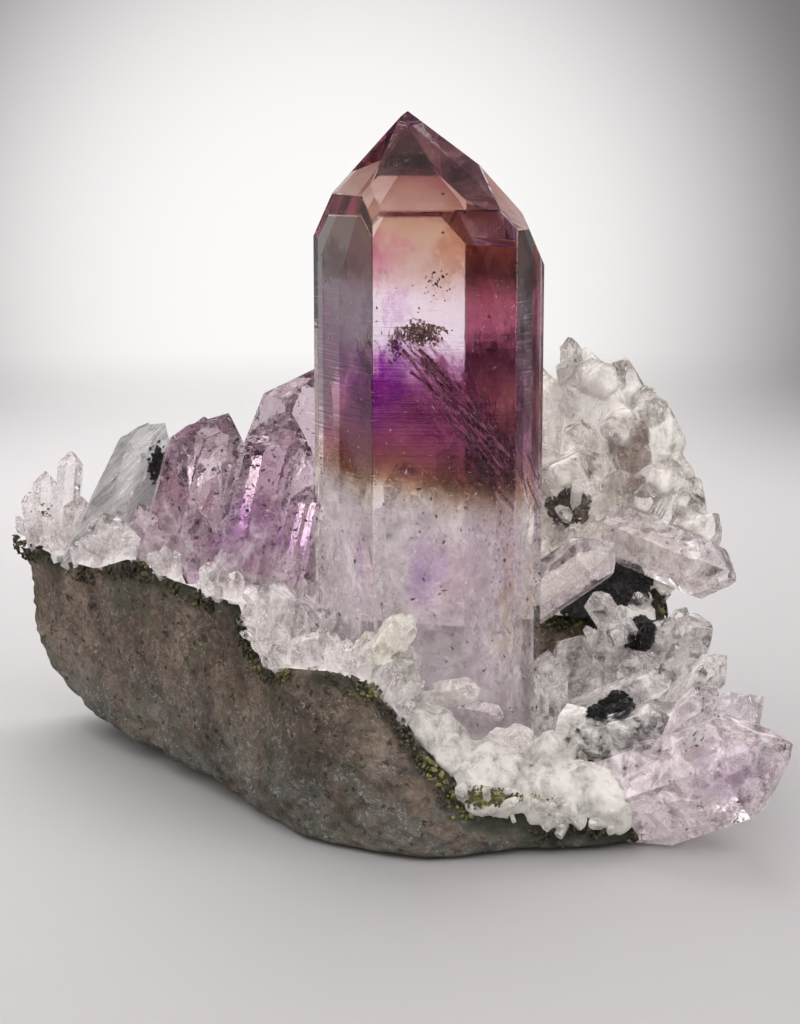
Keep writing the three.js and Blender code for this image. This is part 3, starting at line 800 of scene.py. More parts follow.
class Workshop:
    """Copies CAD nodes, finishes pieces and hands them to the frame."""

    def __init__(self) -> None:
        """Find the axis of the tall crystal from its CAD node."""
        low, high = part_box("phantom_crystal")
        self.axis = Vector((low.x / MM + 10.5, (low.y + high.y) / 2 / MM, 0.0))
        self.materials: dict[str, bpy.types.Material] = {}
        self.trees: dict[str, BVHTree] = {}
        self.points = [self.quartz_point(random.Random(seed)) for seed in range(12)]
        self.grains = [self.grain(random.Random(seed)) for seed in range(6)]
        self.shards = [self.shard(random.Random(seed)) for seed in range(6)]

    def paint(self, finish: object) -> bpy.types.Material:
        """Return a finish's material, made once.

        Args:
            finish: The finish.

        Returns:
            The material.
        """
        if finish.name not in self.materials:
            self.materials[finish.name] = finish.material()
        return self.materials[finish.name]

    def at(self, x: float, y: float, z: float) -> Vector:
        """Return a place given from the foot of the tall crystal's axis, in millimetres."""
        return self.axis + Vector((x, y, z))

    def copy(self, node: str, flatten: bool = True) -> bmesh.types.BMesh:
        """Return a merged copy of a CAD node in millimetres.

        Args:
            node: The CAD node's name.
            flatten: Whether triangles that lie in one plane become one face.

        Returns:
            The copy as a new bmesh.
        """
        bm = bmesh.new()
        bm.from_mesh(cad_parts[node].data)
        bmesh.ops.scale(bm, vec=Vector((1, 1, 1)) / MM, verts=bm.verts)
        bmesh.ops.remove_doubles(bm, verts=bm.verts, dist=MERGED)
        if flatten:
            bmesh.ops.dissolve_limit(bm, angle_limit=IN_PLANE, verts=bm.verts, edges=bm.edges)
        return bm

    def tree(self, node: str) -> BVHTree:
        """Return the search tree of a CAD node, made once.

        Args:
            node: The CAD node's name.

        Returns:
            The tree, in millimetres.
        """
        if node not in self.trees:
            bm = self.copy(node, flatten=False)
            self.trees[node] = BVHTree.FromBMesh(bm)
            bm.free()
        return self.trees[node]

    def gap(self, point: Vector, nodes: Iterable[str]) -> float:
        """Return the distance from a point to the nearest of some CAD nodes."""
        return min(self.tree(node).find_nearest(point)[3] for node in nodes)

    def seen(self, x: float, y: float, nodes: Iterable[str]) -> tuple[Vector, Vector, str] | None:
        """Return where a pixel of the photograph first meets one of some CAD nodes.

        Args:
            x: The pixel's column.
            y: The pixel's row.
            nodes: The CAD nodes to look at.

        Returns:
            The place, its outward normal and the node, or None past all of them.
        """
        start = self.at(*View.place)
        hits = []
        for node in nodes:
            point, normal, _, distance = self.tree(node).ray_cast(start, View.ray(x, y))
            if point is not None:
                hits.append((distance, point, normal, node))
        return min(hits, key=lambda hit: hit[0])[1:] if hits else None

    @staticmethod
    def keep(bm: bmesh.types.BMesh, name: str = "pattern") -> bpy.types.Mesh:
        """Turn a bmesh into a mesh.

        Args:
            bm: The bmesh, which is used up.
            name: The mesh's name.

        Returns:
            The mesh.
        """
        mesh = bpy.data.meshes.new(name)
        bm.to_mesh(mesh)
        bm.free()
        return mesh

    def quartz_point(self, rng: random.Random) -> bpy.types.Mesh:
        """Return a quartz crystal one millimetre wide and two and a half high, standing on its root.

        Args:
            rng: The source of chance.

        Returns:
            The crystal's mesh.
        """
        bm = bmesh.new()
        length = 2.5
        block = Matrix.Translation((0, 0, 1.0)) @ Matrix.Scale(6.0, 4)
        bmesh.ops.create_cube(bm, size=1.0, matrix=block)
        for face in range(PRISM_FACES):
            bearing = math.radians(60 * face)
            side = Vector((math.cos(bearing), math.sin(bearing), 0.0))
            out = 0.5 * rng.uniform(0.82, 1.12)
            cut(bm, side * out, side)
            rise = rng.uniform(0.02, 0.3) if face % 2 else 0.0
            shoulder = length - out * math.tan(math.radians(PYRAMID_TILT)) + rise
            tilt = math.radians(90.0 - PYRAMID_TILT)
            slope = side * math.cos(tilt) + Vector((0, 0, math.sin(tilt)))
            cut(bm, side * out + Vector((0, 0, shoulder)), slope)
        cut(bm, Vector((0, 0, -0.3)), Vector((0, 0, -1)))
        lift = bm.verts.layers.float.new("lift")
        for vert in bm.verts:
            vert[lift] = max(0.0, vert.co.z) * 2.6
        return self.keep(bm)

    def grain(self, rng: random.Random) -> bpy.types.Mesh:
        """Return an uneven grain one millimetre across.

        Args:
            rng: The source of chance.

        Returns:
            The grain's mesh.
        """
        bm = bmesh.new()
        bmesh.ops.create_icosphere(bm, subdivisions=1, radius=0.5)
        for vert in bm.verts:
            vert.co *= rng.uniform(0.5, 1.45)
        return self.keep(bm)

    def shard(self, rng: random.Random) -> bpy.types.Mesh:
        """Return a splinter one millimetre long that lies along Z and grows thin towards its upper end.

        Args:
            rng: The source of chance.

        Returns:
            The splinter's mesh.
        """
        bm = bmesh.new()
        tip = rng.uniform(0.04, 0.2)
        bmesh.ops.create_cone(bm, cap_ends=True, segments=4, radius1=0.5, radius2=tip, depth=1.0)
        skew = rng.uniform(-0.5, 0.5)
        for vert in bm.verts:
            vert.co.x = vert.co.x * rng.uniform(0.5, 1.0) + skew * vert.co.z
        return self.keep(bm)

    @staticmethod
    def remeshed(bm: bmesh.types.BMesh, grid: float = 0.3) -> bmesh.types.BMesh:
        """Return solids that overlap as one closed skin of small, even faces.

        Args:
            bm: The solids, which are used up.
            grid: The size of the new faces, in millimetres.

        Returns:
            The skin.
        """
        mesh = Workshop.keep(bm, "remeshed")
        helper = link("remeshed", mesh)
        step = helper.modifiers.new("grid", "REMESH")
        step.mode = "VOXEL"
        step.voxel_size = grid
        graph = bpy.context.evaluated_depsgraph_get()
        result = bmesh.new()
        result.from_object(helper, graph)
        bpy.data.objects.remove(helper)
        bpy.data.meshes.remove(mesh)
        return result

    @staticmethod
    def strew(patterns: Sequence[bpy.types.Mesh], places: Iterable[Matrix]) -> bmesh.types.BMesh:
        """Return one bmesh with a pattern at every place.

        Args:
            patterns: The small meshes, taken in turn.
            places: Where each goes.

        Returns:
            All of them joined in one bmesh.
        """
        bm = bmesh.new()
        for turn, place in enumerate(places):
            mesh = patterns[turn % len(patterns)].copy()
            mesh.transform(place)
            bm.from_mesh(mesh)
            bpy.data.meshes.remove(mesh)
        return bm

    def samples(
        self, node: str, count: int, rng: random.Random, low: float = -1.0
    ) -> list[tuple[Vector, Vector]]:
        """Return random points on a CAD node, spread by area.

        Args:
            node: The CAD node's name.
            count: How many points.
            rng: The source of chance.
            low: The least upward part that a face's normal may have.

        Returns:
            Pairs of a point in millimetres and its outward normal.
        """
        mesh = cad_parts[node].data
        mesh.calc_loop_triangles()
        faces = [face for face in mesh.loop_triangles if face.normal.z > low]
        picked = rng.choices(faces, [face.area for face in faces], k=count)
        pairs = []
        for face in picked:
            a, b, c = (mesh.vertices[index].co / MM for index in face.vertices)
            u, v = sorted((rng.random(), rng.random()))
            pairs.append((a * u + b * (v - u) + c * (1.0 - v), face.normal.copy()))
        return pairs

    def piece(
        self,
        name: str,
        bm: bmesh.types.BMesh,
        finish: object,
        slot: str,
        replaced: Sequence[str] = (),
        shape: Shape = Shape.FACETED,
    ) -> bpy.types.Object:
        """Make a finished piece of a bmesh in millimetres.

        Args:
            name: The piece's name.
            bm: Its shape, which is used up.
            finish: Its finish.
            slot: Not used.
            replaced: The CAD nodes that it stands for.
            shape: How its faces are shaded.

        Returns:
            The new object, which rides on the specimen.
        """
        mesh = self.keep(bm, name)
        mesh.transform(Matrix.Scale(MM, 4))
        mesh.polygons.foreach_set("use_smooth", [shape.value] * len(mesh.polygons))
        mesh.materials.append(self.paint(finish))
        piece = link(name, mesh)
        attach(piece, ROOT)
        if replaced:
            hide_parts(*replaced)
        LOG.info("%s: %d faces", name, len(mesh.polygons))
        return piece


def cut(bm: bmesh.types.BMesh, point: Vector, outward: Vector) -> None:
    """Cut away what lies beyond a plane and close the cut.

    Args:
        bm: The solid to cut.
        point: A point of the plane.
        outward: The plane's normal, towards what goes.
    """
    geometry = bm.verts[:] + bm.edges[:] + bm.faces[:]
    result = bmesh.ops.bisect_plane(
        bm, geom=geometry, dist=1e-5, plane_co=point, plane_no=outward, clear_outer=True
    )
    edges = [item for item in result["geom_cut"] if isinstance(item, bmesh.types.BMEdge)]
    if edges:
        bmesh.ops.holes_fill(bm, edges=edges)


def link(name: str, data: bpy.types.ID) -> bpy.types.Object:
    """Return a new object in the scene.

    Args:
        name: Its name.
        data: Its mesh, light or camera.

    Returns:
        The object.
    """
    thing = bpy.data.objects.new(name, data)
    bpy.context.scene.collection.objects.link(thing)
    return thing


def smooth(bm: bmesh.types.BMesh, factor: float) -> None:
    """Even out a mesh by a factor."""
    axes = {"use_axis_x": True, "use_axis_y": True, "use_axis_z": True}
    bmesh.ops.smooth_vert(bm, verts=bm.verts, factor=factor, **axes)


def astray(rng: random.Random, spread: float = 1.0) -> Vector:
    """Return a random offset of a spread."""
    return Vector([rng.gauss(0, spread) for _ in range(3)])


def uneven(rng: random.Random, size: float) -> list[float]:
    """Return a size that differs a little along each axis."""
    return [size * rng.uniform(0.7, 1.3) for _ in range(3)]


def standing(place: Vector, up: Vector, rng: random.Random, size: Sequence[float]) -> Matrix:
    """Return the matrix that stands a pattern at a place, turned about its own axis by chance.

    Args:
        place: Where its root goes.
        up: The way its Z axis points.
        rng: The source of chance.
        size: Its scale along its own axes.

    Returns:
        The matrix.
    """
    turn = up.to_track_quat("Z", "Y").to_matrix().to_4x4()
    spin = Matrix.Rotation(rng.uniform(0, FULL_TURN), 4, "Z")
    return Matrix.Translation(place) @ turn @ spin @ Matrix.Diagonal((*size, 1.0))


@dataclass
class Stone:
    """The piece of basalt, with the green grains along its contact to the quartz."""

    shop: Workshop
    crusts: tuple[str, ...] = (
        "left_druse",
        "front_druse",
        "milky_quartz",
        "right_druse",
        "upper_quartz",
        "back_druse",
    )
    rounds: int = 3
    swell: float = 0.6
    swell_size: float = 6.0
    grit: float = 0.5
    grit_size: float = 1.6
    band: float = 2.2
    covered: float = 0.35
    gap_size: float = 3.5
    grain_count: int = 42000
    grain_sizes: tuple[float, float] = (0.28, 0.75)
    lowest: float = -0.6
    seed: int = 61

    def body(self) -> None:
        """Roughen a finer copy of the CAD stone."""
        bm = self.shop.copy("basalt_matrix", flatten=False)
        for _ in range(self.rounds):
            bmesh.ops.subdivide_edges(bm, edges=bm.edges[:], cuts=1, use_grid_fill=True)
            smooth(bm, 0.35)
        bm.normal_update()
        crust = bm.verts.layers.float.new("crust")
        for vert in bm.verts:
            out = self.swell * noise.fractal(vert.co / self.swell_size, 1.0, 2.0, 4)
            out += self.grit * noise.fractal(vert.co / self.grit_size, 1.0, 2.0, 3)
            share = min(1.0, max(0.0, vert.co.z / 2.0))
            vert[crust] = self.shop.gap(vert.co, self.crusts)
            vert.co += vert.normal * out * share
        self.shop.piece("basalt_stone", bm, Basalt(), "basalt", ["basalt_matrix"], Shape.ROUNDED)

    def grains(self) -> None:
        """Grow green grains where the quartz meets the side of the stone."""
        rng = random.Random(self.seed)
        places = []
        for point, normal in self.shop.samples("basalt_matrix", self.grain_count, rng, self.lowest):
            near = self.shop.gap(point, self.crusts)
            if near > self.band or (near < self.covered and normal.z > 0.5):
                continue
            if noise.noise(point / self.gap_size) < 0.15 * rng.random() - 0.12:
                continue
            size = rng.uniform(*self.grain_sizes) * (1.2 - 0.5 * near / self.band)
            shape = uneven(rng, size)
            places.append(standing(point + normal * rng.uniform(0.0, 0.5), normal, rng, shape))
        finish = Grain("green_grains", (0.012, 0.01, 0.007), (0.04, 0.034, 0.018), (0.2, 0.19, 0.04))
        self.shop.piece("contact_grains", self.shop.strew(self.shop.grains, places), finish, "basalt")

    def build(self) -> None:
        """Build the stone and its grains."""
        self.body()
        self.grains()


@dataclass
class TallCrystal:
    """The tall crystal with its zones of colour."""

    shop: Workshop
    bevel: float = 0.1
    width: float = 27.7
    middle_x: float = 3.3
    veils: int = 2
    first_veil: float = 2.0
    veil_step: float = 3.6
    zone_foot: float = 8.0
    zone_top: float = 90.0
    rose_bearing: float = 30.0
    rose_inset: float = 1.2
    rose_depth: float = 0.15
    rose_left: float = 8.0
    trail_depths: tuple[float, float] = (-9.6, 8.0)
    trail_margin: float = 0.4
    slot: str = "phantom_amethyst"

    @property
    def colours(self) -> PhantomColours:
        """Return the crystal's colours, placed from the foot of its axis."""
        return PhantomColours(tuple(self.shop.axis))

    def body(self) -> None:
        """Build the clear outer crystal, with its edges just taken off."""
        bm = self.shop.copy("phantom_crystal")
        bmesh.ops.bevel(
            bm, geom=bm.edges[:], offset=self.bevel, segments=1, profile=0.5, affect="EDGES", material=-1
        )
        self.shop.piece("tall_crystal", bm, PhantomQuartz(self.colours), self.slot, ["phantom_crystal"])

    def zone(self, inset: float, low: float, high: float) -> bmesh.types.BMesh:
        """Return a zone that follows the crystal's own faces between two heights.

        Args:
            inset: How far it stays inside the crystal's faces.
            low: The height of its lower side.
            high: The height of its upper side.

        Returns:
            Its solid.
        """
        bm = self.shop.copy("phantom_crystal")
        axis = self.shop.at(self.middle_x, 0, 0)
        share = 1.0 - 2.0 * inset / self.width
        bmesh.ops.translate(bm, vec=-axis, verts=bm.verts)
        bmesh.ops.scale(bm, vec=Vector((share, share - 0.01, 1.0)), verts=bm.verts)
        bmesh.ops.translate(bm, vec=axis - Vector((0, 0, inset)), verts=bm.verts)
        cut(bm, self.shop.at(0, 0, low), Vector((0, 0, -1)))
        cut(bm, self.shop.at(0, 0, high), Vector((0, 0, 1)))
        return bm

    def rose_zone(self) -> None:
        """Build the thin wine-red zone that lines the inside of the right-hand back face."""
        bm = self.zone(self.rose_inset, RoseZone.low, RoseZone.high)
        bearing = math.radians(self.rose_bearing)
        side = Vector((math.cos(bearing), math.sin(bearing), 0.0))
        reach = max(vert.co.dot(side) for vert in bm.verts)
        cut(bm, side * (reach - self.rose_depth), -side)
        cut(bm, self.shop.at(self.rose_left, 0, 0), Vector((-1, 0, 0)))
        bmesh.ops.translate(bm, vec=Vector((0, 0, self.rose_inset)), verts=bm.verts)
        self.shop.piece("rose_zone", bm, RoseZone(), self.slot)

    def outlines(self) -> None:
        """Build the crystal's earlier outlines, one inside another."""
        for turn in range(self.veils):
            inset = self.first_veil + turn * self.veil_step
            bm = self.zone(inset, self.zone_foot, self.zone_top)
            self.shop.piece(f"phantom_{turn + 1}", bm, PhantomVeil(self.colours, turn), self.slot)
        self.rose_zone()

    def scattered(
        self,
        name: str,
        patterns: Sequence[bpy.types.Mesh],
        count: int,
        seed: int,
        heights: tuple[float, float],
        depths: tuple[float, float],
        sizes: tuple[float, float, float],
        finish: object,
    ) -> None:
        """Scatter small flaws behind the crystal's faces.

        Args:
            name: The piece's name.
            patterns: The small meshes.
            count: How many points are drawn on the whole crystal.
            seed: The seed of the chance.
            heights: The lowest and the highest place.
            depths: How far behind the faces they lie.
            sizes: The least and the greatest length, and the width as a share of it.
            finish: Their finish.
        """
        rng = random.Random(seed)
        low, high, slim = sizes
        places = []
        for point, normal in self.shop.samples("phantom_crystal", count * 2, rng):
            place = point - normal * rng.uniform(*depths)
            if not heights[0] < place.z + rng.gauss(0, 1.2) < heights[1]:
                continue
            way = astray(rng).normalized()
            length = low + (high - low) * rng.random() ** 2.2
            size = (max(THINNEST, length * slim), max(THINNEST, length * slim * 0.6), length)
            places.append(standing(place, way, rng, size))
        self.shop.piece(name, self.shop.strew(patterns, places), finish, self.slot)

    def inside(self, spot: Vector, margin: float) -> bool:
        """Return whether a place lies inside the crystal.

        Args:
            spot: The place, from the foot of the crystal's axis.
            margin: How far inside it has to be.

        Returns:
            True inside.
        """
        point = self.shop.at(*spot)
        near, normal, _, distance = self.shop.tree("phantom_crystal").find_nearest(point)
        return (point - near).dot(normal) < 0 and distance > margin

    def trail(
        self,
        name: str,
        count: int,
        seed: int,
        first: tuple[float, float],
        last: tuple[float, float],
        spread: tuple[float, float],
        sizes: tuple[float, float, float],
        finish: object,
        sway: float = 0.4,
    ) -> None:
        """Scatter splinters along a line in the picture's plane, through the crystal's depth.

        Args:
            name: The piece's name.
            count: How many splinters are drawn.
            seed: The seed of the chance.
            first: Where the line starts, across and up from the foot of the crystal's axis.
            last: Where it ends.
            spread: How far they stray at the start and at the end.
            sizes: The least and the greatest length, and the width as a share of it.
            finish: Their finish.
            sway: How far they turn away from the line.
        """
        rng = random.Random(seed)
        start, end = Vector((first[0], 0.0, first[1])), Vector((last[0], 0.0, last[1]))
        low, high, slim = sizes
        places = []
        for _ in range(count):
            share = rng.random()
            stray = spread[0] + (spread[1] - spread[0]) * share
            spot = start.lerp(end, share) + Vector((rng.gauss(0, stray * 0.5), 0, rng.gauss(0, stray)))
            spot.y = rng.uniform(*self.trail_depths)
            if not self.inside(spot, self.trail_margin):
                continue
            way = ((end - start).normalized() + astray(rng, sway)).normalized()
            length = low + (high - low) * rng.random() ** 2
            size = (length * slim, THINNEST, length)
            places.append(standing(self.shop.at(*spot), way, rng, size))
        self.shop.piece(name, self.shop.strew(self.shop.shards, places), finish, self.slot)

    def tuft(
        self,
        name: str,
        count: int,
        seed: int,
        middle: tuple[float, float, float],
        reach: tuple[float, float, float],
        sizes: tuple[float, float],
        finish: Grain,
    ) -> None:
        """Heap grains about a place inside the crystal.

        Args:
            name: The piece's name.
            count: How many grains.
            seed: The seed of the chance.
            middle: The middle of the heap, from the foot of the crystal's axis.
            reach: How far it reaches along each axis.
            sizes: The least and the greatest size of a grain.
            finish: Their finish.
        """
        rng = random.Random(seed)
        places = []
        for _ in range(count):
            way = astray(rng).normalized()
            away = rng.random() ** 0.5 * (1.0 + 0.5 * noise.noise(way * 1.7 + Vector(middle)))
            spot = Vector([a + b * c * away for a, b, c in zip(middle, reach, way)])
            shape = [rng.uniform(*sizes) * rng.uniform(0.6, 1.3) for _ in range(3)]
            places.append(standing(self.shop.at(*spot), way, rng, shape))
        self.shop.piece(name, self.shop.strew(self.shop.grains, places), finish, self.slot)

    def inclusions(self) -> None:
        """Build the veils, flakes, needles and specks inside the crystal."""
        plate = Plate("veil_plates", (0.42, 0.18, 0.26), (0.7, 0.42, 0.52))
        self.trail(
            "veil_plates", 110, 4, (1.0, 56.0), (15.0, 39.0), (0.8, 2.6), (1.4, 7.0, 0.12), plate, 0.15
        )
        veil = Glint("veil_glints", (0.8, 0.6, 0.7), (0.09, 0.015, 0.045), 0.2, 0.3)
        self.trail(
            "diagonal_veils", 520, 5, (0.3, 57.5), (15.5, 38.5), (0.6, 2.4), (0.2, 1.4, 0.1), veil, 0.25
        )
        smoke = Grain("smoky_grains", (0.05, 0.03, 0.02), (0.2, 0.13, 0.1), (0.5, 0.38, 0.3), 1.2, 0.35)
        self.tuft("smoky_tuft", 480, 6, (2.4, -4.0, 58.2), (3.0, 1.8, 1.5), (0.14, 0.46), smoke)
        self.tuft("smoky_wisp", 130, 8, (-0.6, -4.0, 56.8), (1.0, 1.6, 2.4), (0.12, 0.36), smoke)
        self.trail(
            "floor_flakes", 260, 7, (-8.5, 42.5), (15.0, 38.6), (0.9, 0.9), (0.2, 0.8, 0.3), veil, 1.5
        )
        spark = Glint("sparks", (0.98, 0.96, 0.98), (0.75, 0.7, 0.74), 0.3, 0.25)
        self.scattered("sparks", self.shop.shards, 3400, 11, (26, 41), (0.15, 1.9), (0.1, 0.6, 0.2), spark)
        self.scattered(
            "low_sparks", self.shop.shards, 1100, 16, (10, 27), (0.15, 1.9), (0.1, 0.5, 0.22), spark
        )
        self.scattered(
            "high_sparks", self.shop.shards, 700, 12, (40, 64), (0.15, 3.5), (0.1, 0.5, 0.18), spark
        )
        dark = Grain("dark_specks", (0.006, 0.005, 0.005), (0.02, 0.014, 0.012), (0.05, 0.03, 0.024))
        self.scattered(
            "dark_specks", self.shop.grains, 420, 13, (9, 42), (0.12, 1.6), (0.22, 0.75, 0.5), dark
        )
        self.scattered(
            "upper_specks", self.shop.grains, 160, 14, (42, 68), (0.12, 3.0), (0.16, 0.55, 0.5), dark
        )
        self.tuft("speck_group", 26, 9, (4.4, -6.0, 64.0), (2.2, 2.0, 1.9), (0.14, 0.4), dark)
        self.scattered("needles", self.shop.shards, 70, 15, (9, 40), (0.15, 1.6), (0.7, 2.4, 0.06), dark)

    def build(self) -> None:
        """Build the crystal and everything in it."""
        self.body()
        self.outlines()
        self.inclusions()


@dataclass
class Cluster:
    """A CAD cluster of crystals, dressed, with small points on its crust and flaws inside it."""

    shop: Workshop
    node: str
    slot: str
    finish: Quartz
    points: int = 0
    width: tuple[float, float] = (0.9, 2.2)
    specks: int = 0
    sparks: int = 0
    seed: int = 1
    voids: tuple["Patch", ...] = ()
    grown: "Growth | None" = None
    rounding: int = 0
    lumps: float = 0.0
    lump_size: float = 2.2
    crust_reach: float = 2.4
    sway: float = 0.42
    flaw_depths: tuple[float, float] = (0.06, 0.7)

    def body(self) -> None:
        """Copy the CAD crystals and note how far each point stands from the stone."""
        bm = self.shop.copy(self.node, flatten=not self.rounding)
        if self.grown:
            mesh = self.shop.keep(self.grown.shape())
            bm.from_mesh(mesh)
            bpy.data.meshes.remove(mesh)
        if self.rounding:
            bm = self.shop.remeshed(bm)
            for _ in range(self.rounding):
                smooth(bm, 0.5)
            bm.normal_update()
            for vert in bm.verts:
                vert.co += vert.normal * self.lumps * noise.fractal(vert.co / self.lump_size, 1.0, 2.0, 3)
        lift = bm.verts.layers.float.get("lift") or bm.verts.layers.float.new("lift")
        stone = self.shop.tree("basalt_matrix")
        for vert in bm.verts:
            vert[lift] = stone.find_nearest(vert.co)[3]
        shape = Shape.ROUNDED if self.rounding else Shape.FACETED
        self.shop.piece(self.node + "_quartz", bm, self.finish, self.slot, [self.node], shape)

    def druse(self) -> None:
        """Grow small points over the crust."""
        rng = random.Random(self.seed)
        stone = self.shop.tree("basalt_matrix")
        places = []
        for point, normal in self.shop.samples(self.node, self.points * 4, rng, -0.5):
            if len(places) >= self.points or stone.find_nearest(point)[3] > self.crust_reach:
                continue
            if any(void.covers(point) for void in self.voids):
                continue
            up = (normal * 0.8 + Vector((0, 0, 0.7)) + astray(rng, self.sway)).normalized()
            width = rng.uniform(*self.width) * rng.uniform(0.6, 1.0)
            tall = width * rng.uniform(0.75, 1.25)
            places.append(standing(point - up * 0.5, up, rng, (width, width, tall)))
        bm = self.shop.strew(self.shop.points, places)
        self.shop.piece(self.node + "_points", bm, self.finish, self.slot)

    def flaws(
        self, count: int, patterns: Sequence[bpy.types.Mesh], thin: float, finish: object, name: str
    ) -> None:
        """Scatter small flaws just inside the faces.

        Args:
            count: How many.
            patterns: The small meshes.
            thin: Their width, as a share of their length.
            finish: Their finish.
            name: The end of the piece's name.
        """
        rng = random.Random(self.seed + 7)
        places = []
        for point, normal in self.shop.samples(self.node, count, rng):
            place = point - normal * rng.uniform(*self.flaw_depths)
            size = 0.15 + 0.75 * rng.random() ** 2
            way = astray(rng).normalized()
            slim = max(THINNEST, size * thin)
            places.append(standing(place, way, rng, (slim, slim * 0.7, size)))
        self.shop.piece(f"{self.node}_{name}", self.shop.strew(patterns, places), finish, self.slot)

    def build(self) -> None:
        """Build the cluster."""
        self.body()
        if self.points:
            self.druse()
        if self.specks:
            dark = Grain("dark_specks", (0.01, 0.008, 0.008), (0.03, 0.02, 0.018), (0.09, 0.05, 0.04))
            self.flaws(self.specks, self.shop.grains, 0.35, dark, "specks")
        if self.sparks:
            spark = Glint("sparks", (0.95, 0.9, 0.95), (0.5, 0.42, 0.5), 0.85, 0.12)
            self.flaws(self.sparks, self.shop.shards, 0.2, spark, "sparks")


@dataclass
class Patch:
    """Grains laid over what shows at one place of the photograph."""

    shop: Workshop
    name: str
    middle: tuple[float, float]
    reach: tuple[float, float]
    nodes: tuple[str, ...]
    count: int
    sizes: tuple[float, float]
    finish: Grain
    seed: int

    def covers(self, point: Vector) -> bool:
        """Return whether a point shows inside the patch in the photograph.

        Args:
            point: The point, in the frame of the CAD model.

        Returns:
            True inside.
        """
        x, y = View.pixel(point - self.shop.axis)
        off = Vector(((x - self.middle[0]) / self.reach[0], (y - self.middle[1]) / self.reach[1]))
        return off.length < 1.0

    def build(self) -> None:
        """Build the grains, each sunk a little into the crystal or stone that carries it."""
        rng = random.Random(self.seed)
        places = []
        for _ in range(self.count):
            bearing, away = rng.uniform(0, 2 * math.pi), math.sqrt(rng.random())
            ragged = 1.0 + 0.45 * noise.noise(
                Vector((math.cos(bearing), math.sin(bearing), self.seed)) * 1.6
            )
            x = self.middle[0] + self.reach[0] * ragged * away * math.cos(bearing)
            y = self.middle[1] + self.reach[1] * ragged * away * math.sin(bearing)
            hit = self.shop.seen(x, y, self.nodes)
            if hit is None:
                continue
            point, normal, _ = hit
            size = rng.uniform(*self.sizes) * (1.1 - 0.6 * away)
            places.append(standing(point + normal * size * 0.2, normal, rng, uneven(rng, size)))
        self.shop.piece(self.name, self.shop.strew(self.shop.grains, places), self.finish, "basalt")


@dataclass
class Growth:
    """Crystals placed where the photograph shows them, each rooted in what carries it."""

    shop: Workshop
    name: str
    slot: str
    finish: Quartz
    nodes: tuple[str, ...]
    places: tuple[tuple[float, float, float], ...]
    seed: int
    tall: tuple[float, float] = (0.4, 0.62)
    side_shoots: int = 2
    up: tuple[float, float, float] = (0.25, -0.1, 0.75)
    sway: float = 0.5

    def shape(self) -> bmesh.types.BMesh:
        """Return the crystals as one bmesh.

        Returns:
            The bmesh, in millimetres.
        """
        rng = random.Random(self.seed)
        stand = []
        for x, y, width in self.places:
            hit = self.shop.seen(x, y, self.nodes)
            if hit is None:
                continue
            point, normal, _ = hit
            for turn in range(self.side_shoots + 1):
                up = (normal * 0.9 + Vector(self.up) + astray(rng, self.sway)).normalized()
                wide = width * rng.uniform(0.55, 0.95) * (1.0 if turn == 0 else 0.7)
                off = Vector([rng.uniform(-0.4, 0.4) * width * (turn > 0) for _ in range(3)])
                size = (wide, wide * rng.uniform(0.75, 1.0), wide * rng.uniform(*self.tall))
                stand.append(standing(point + off - up * wide * 0.75, up, rng, size))
        return self.shop.strew(self.shop.points, stand)

    def build(self) -> None:
        """Build the crystals."""
        self.shop.piece(self.name, self.shape(), self.finish, self.slot)


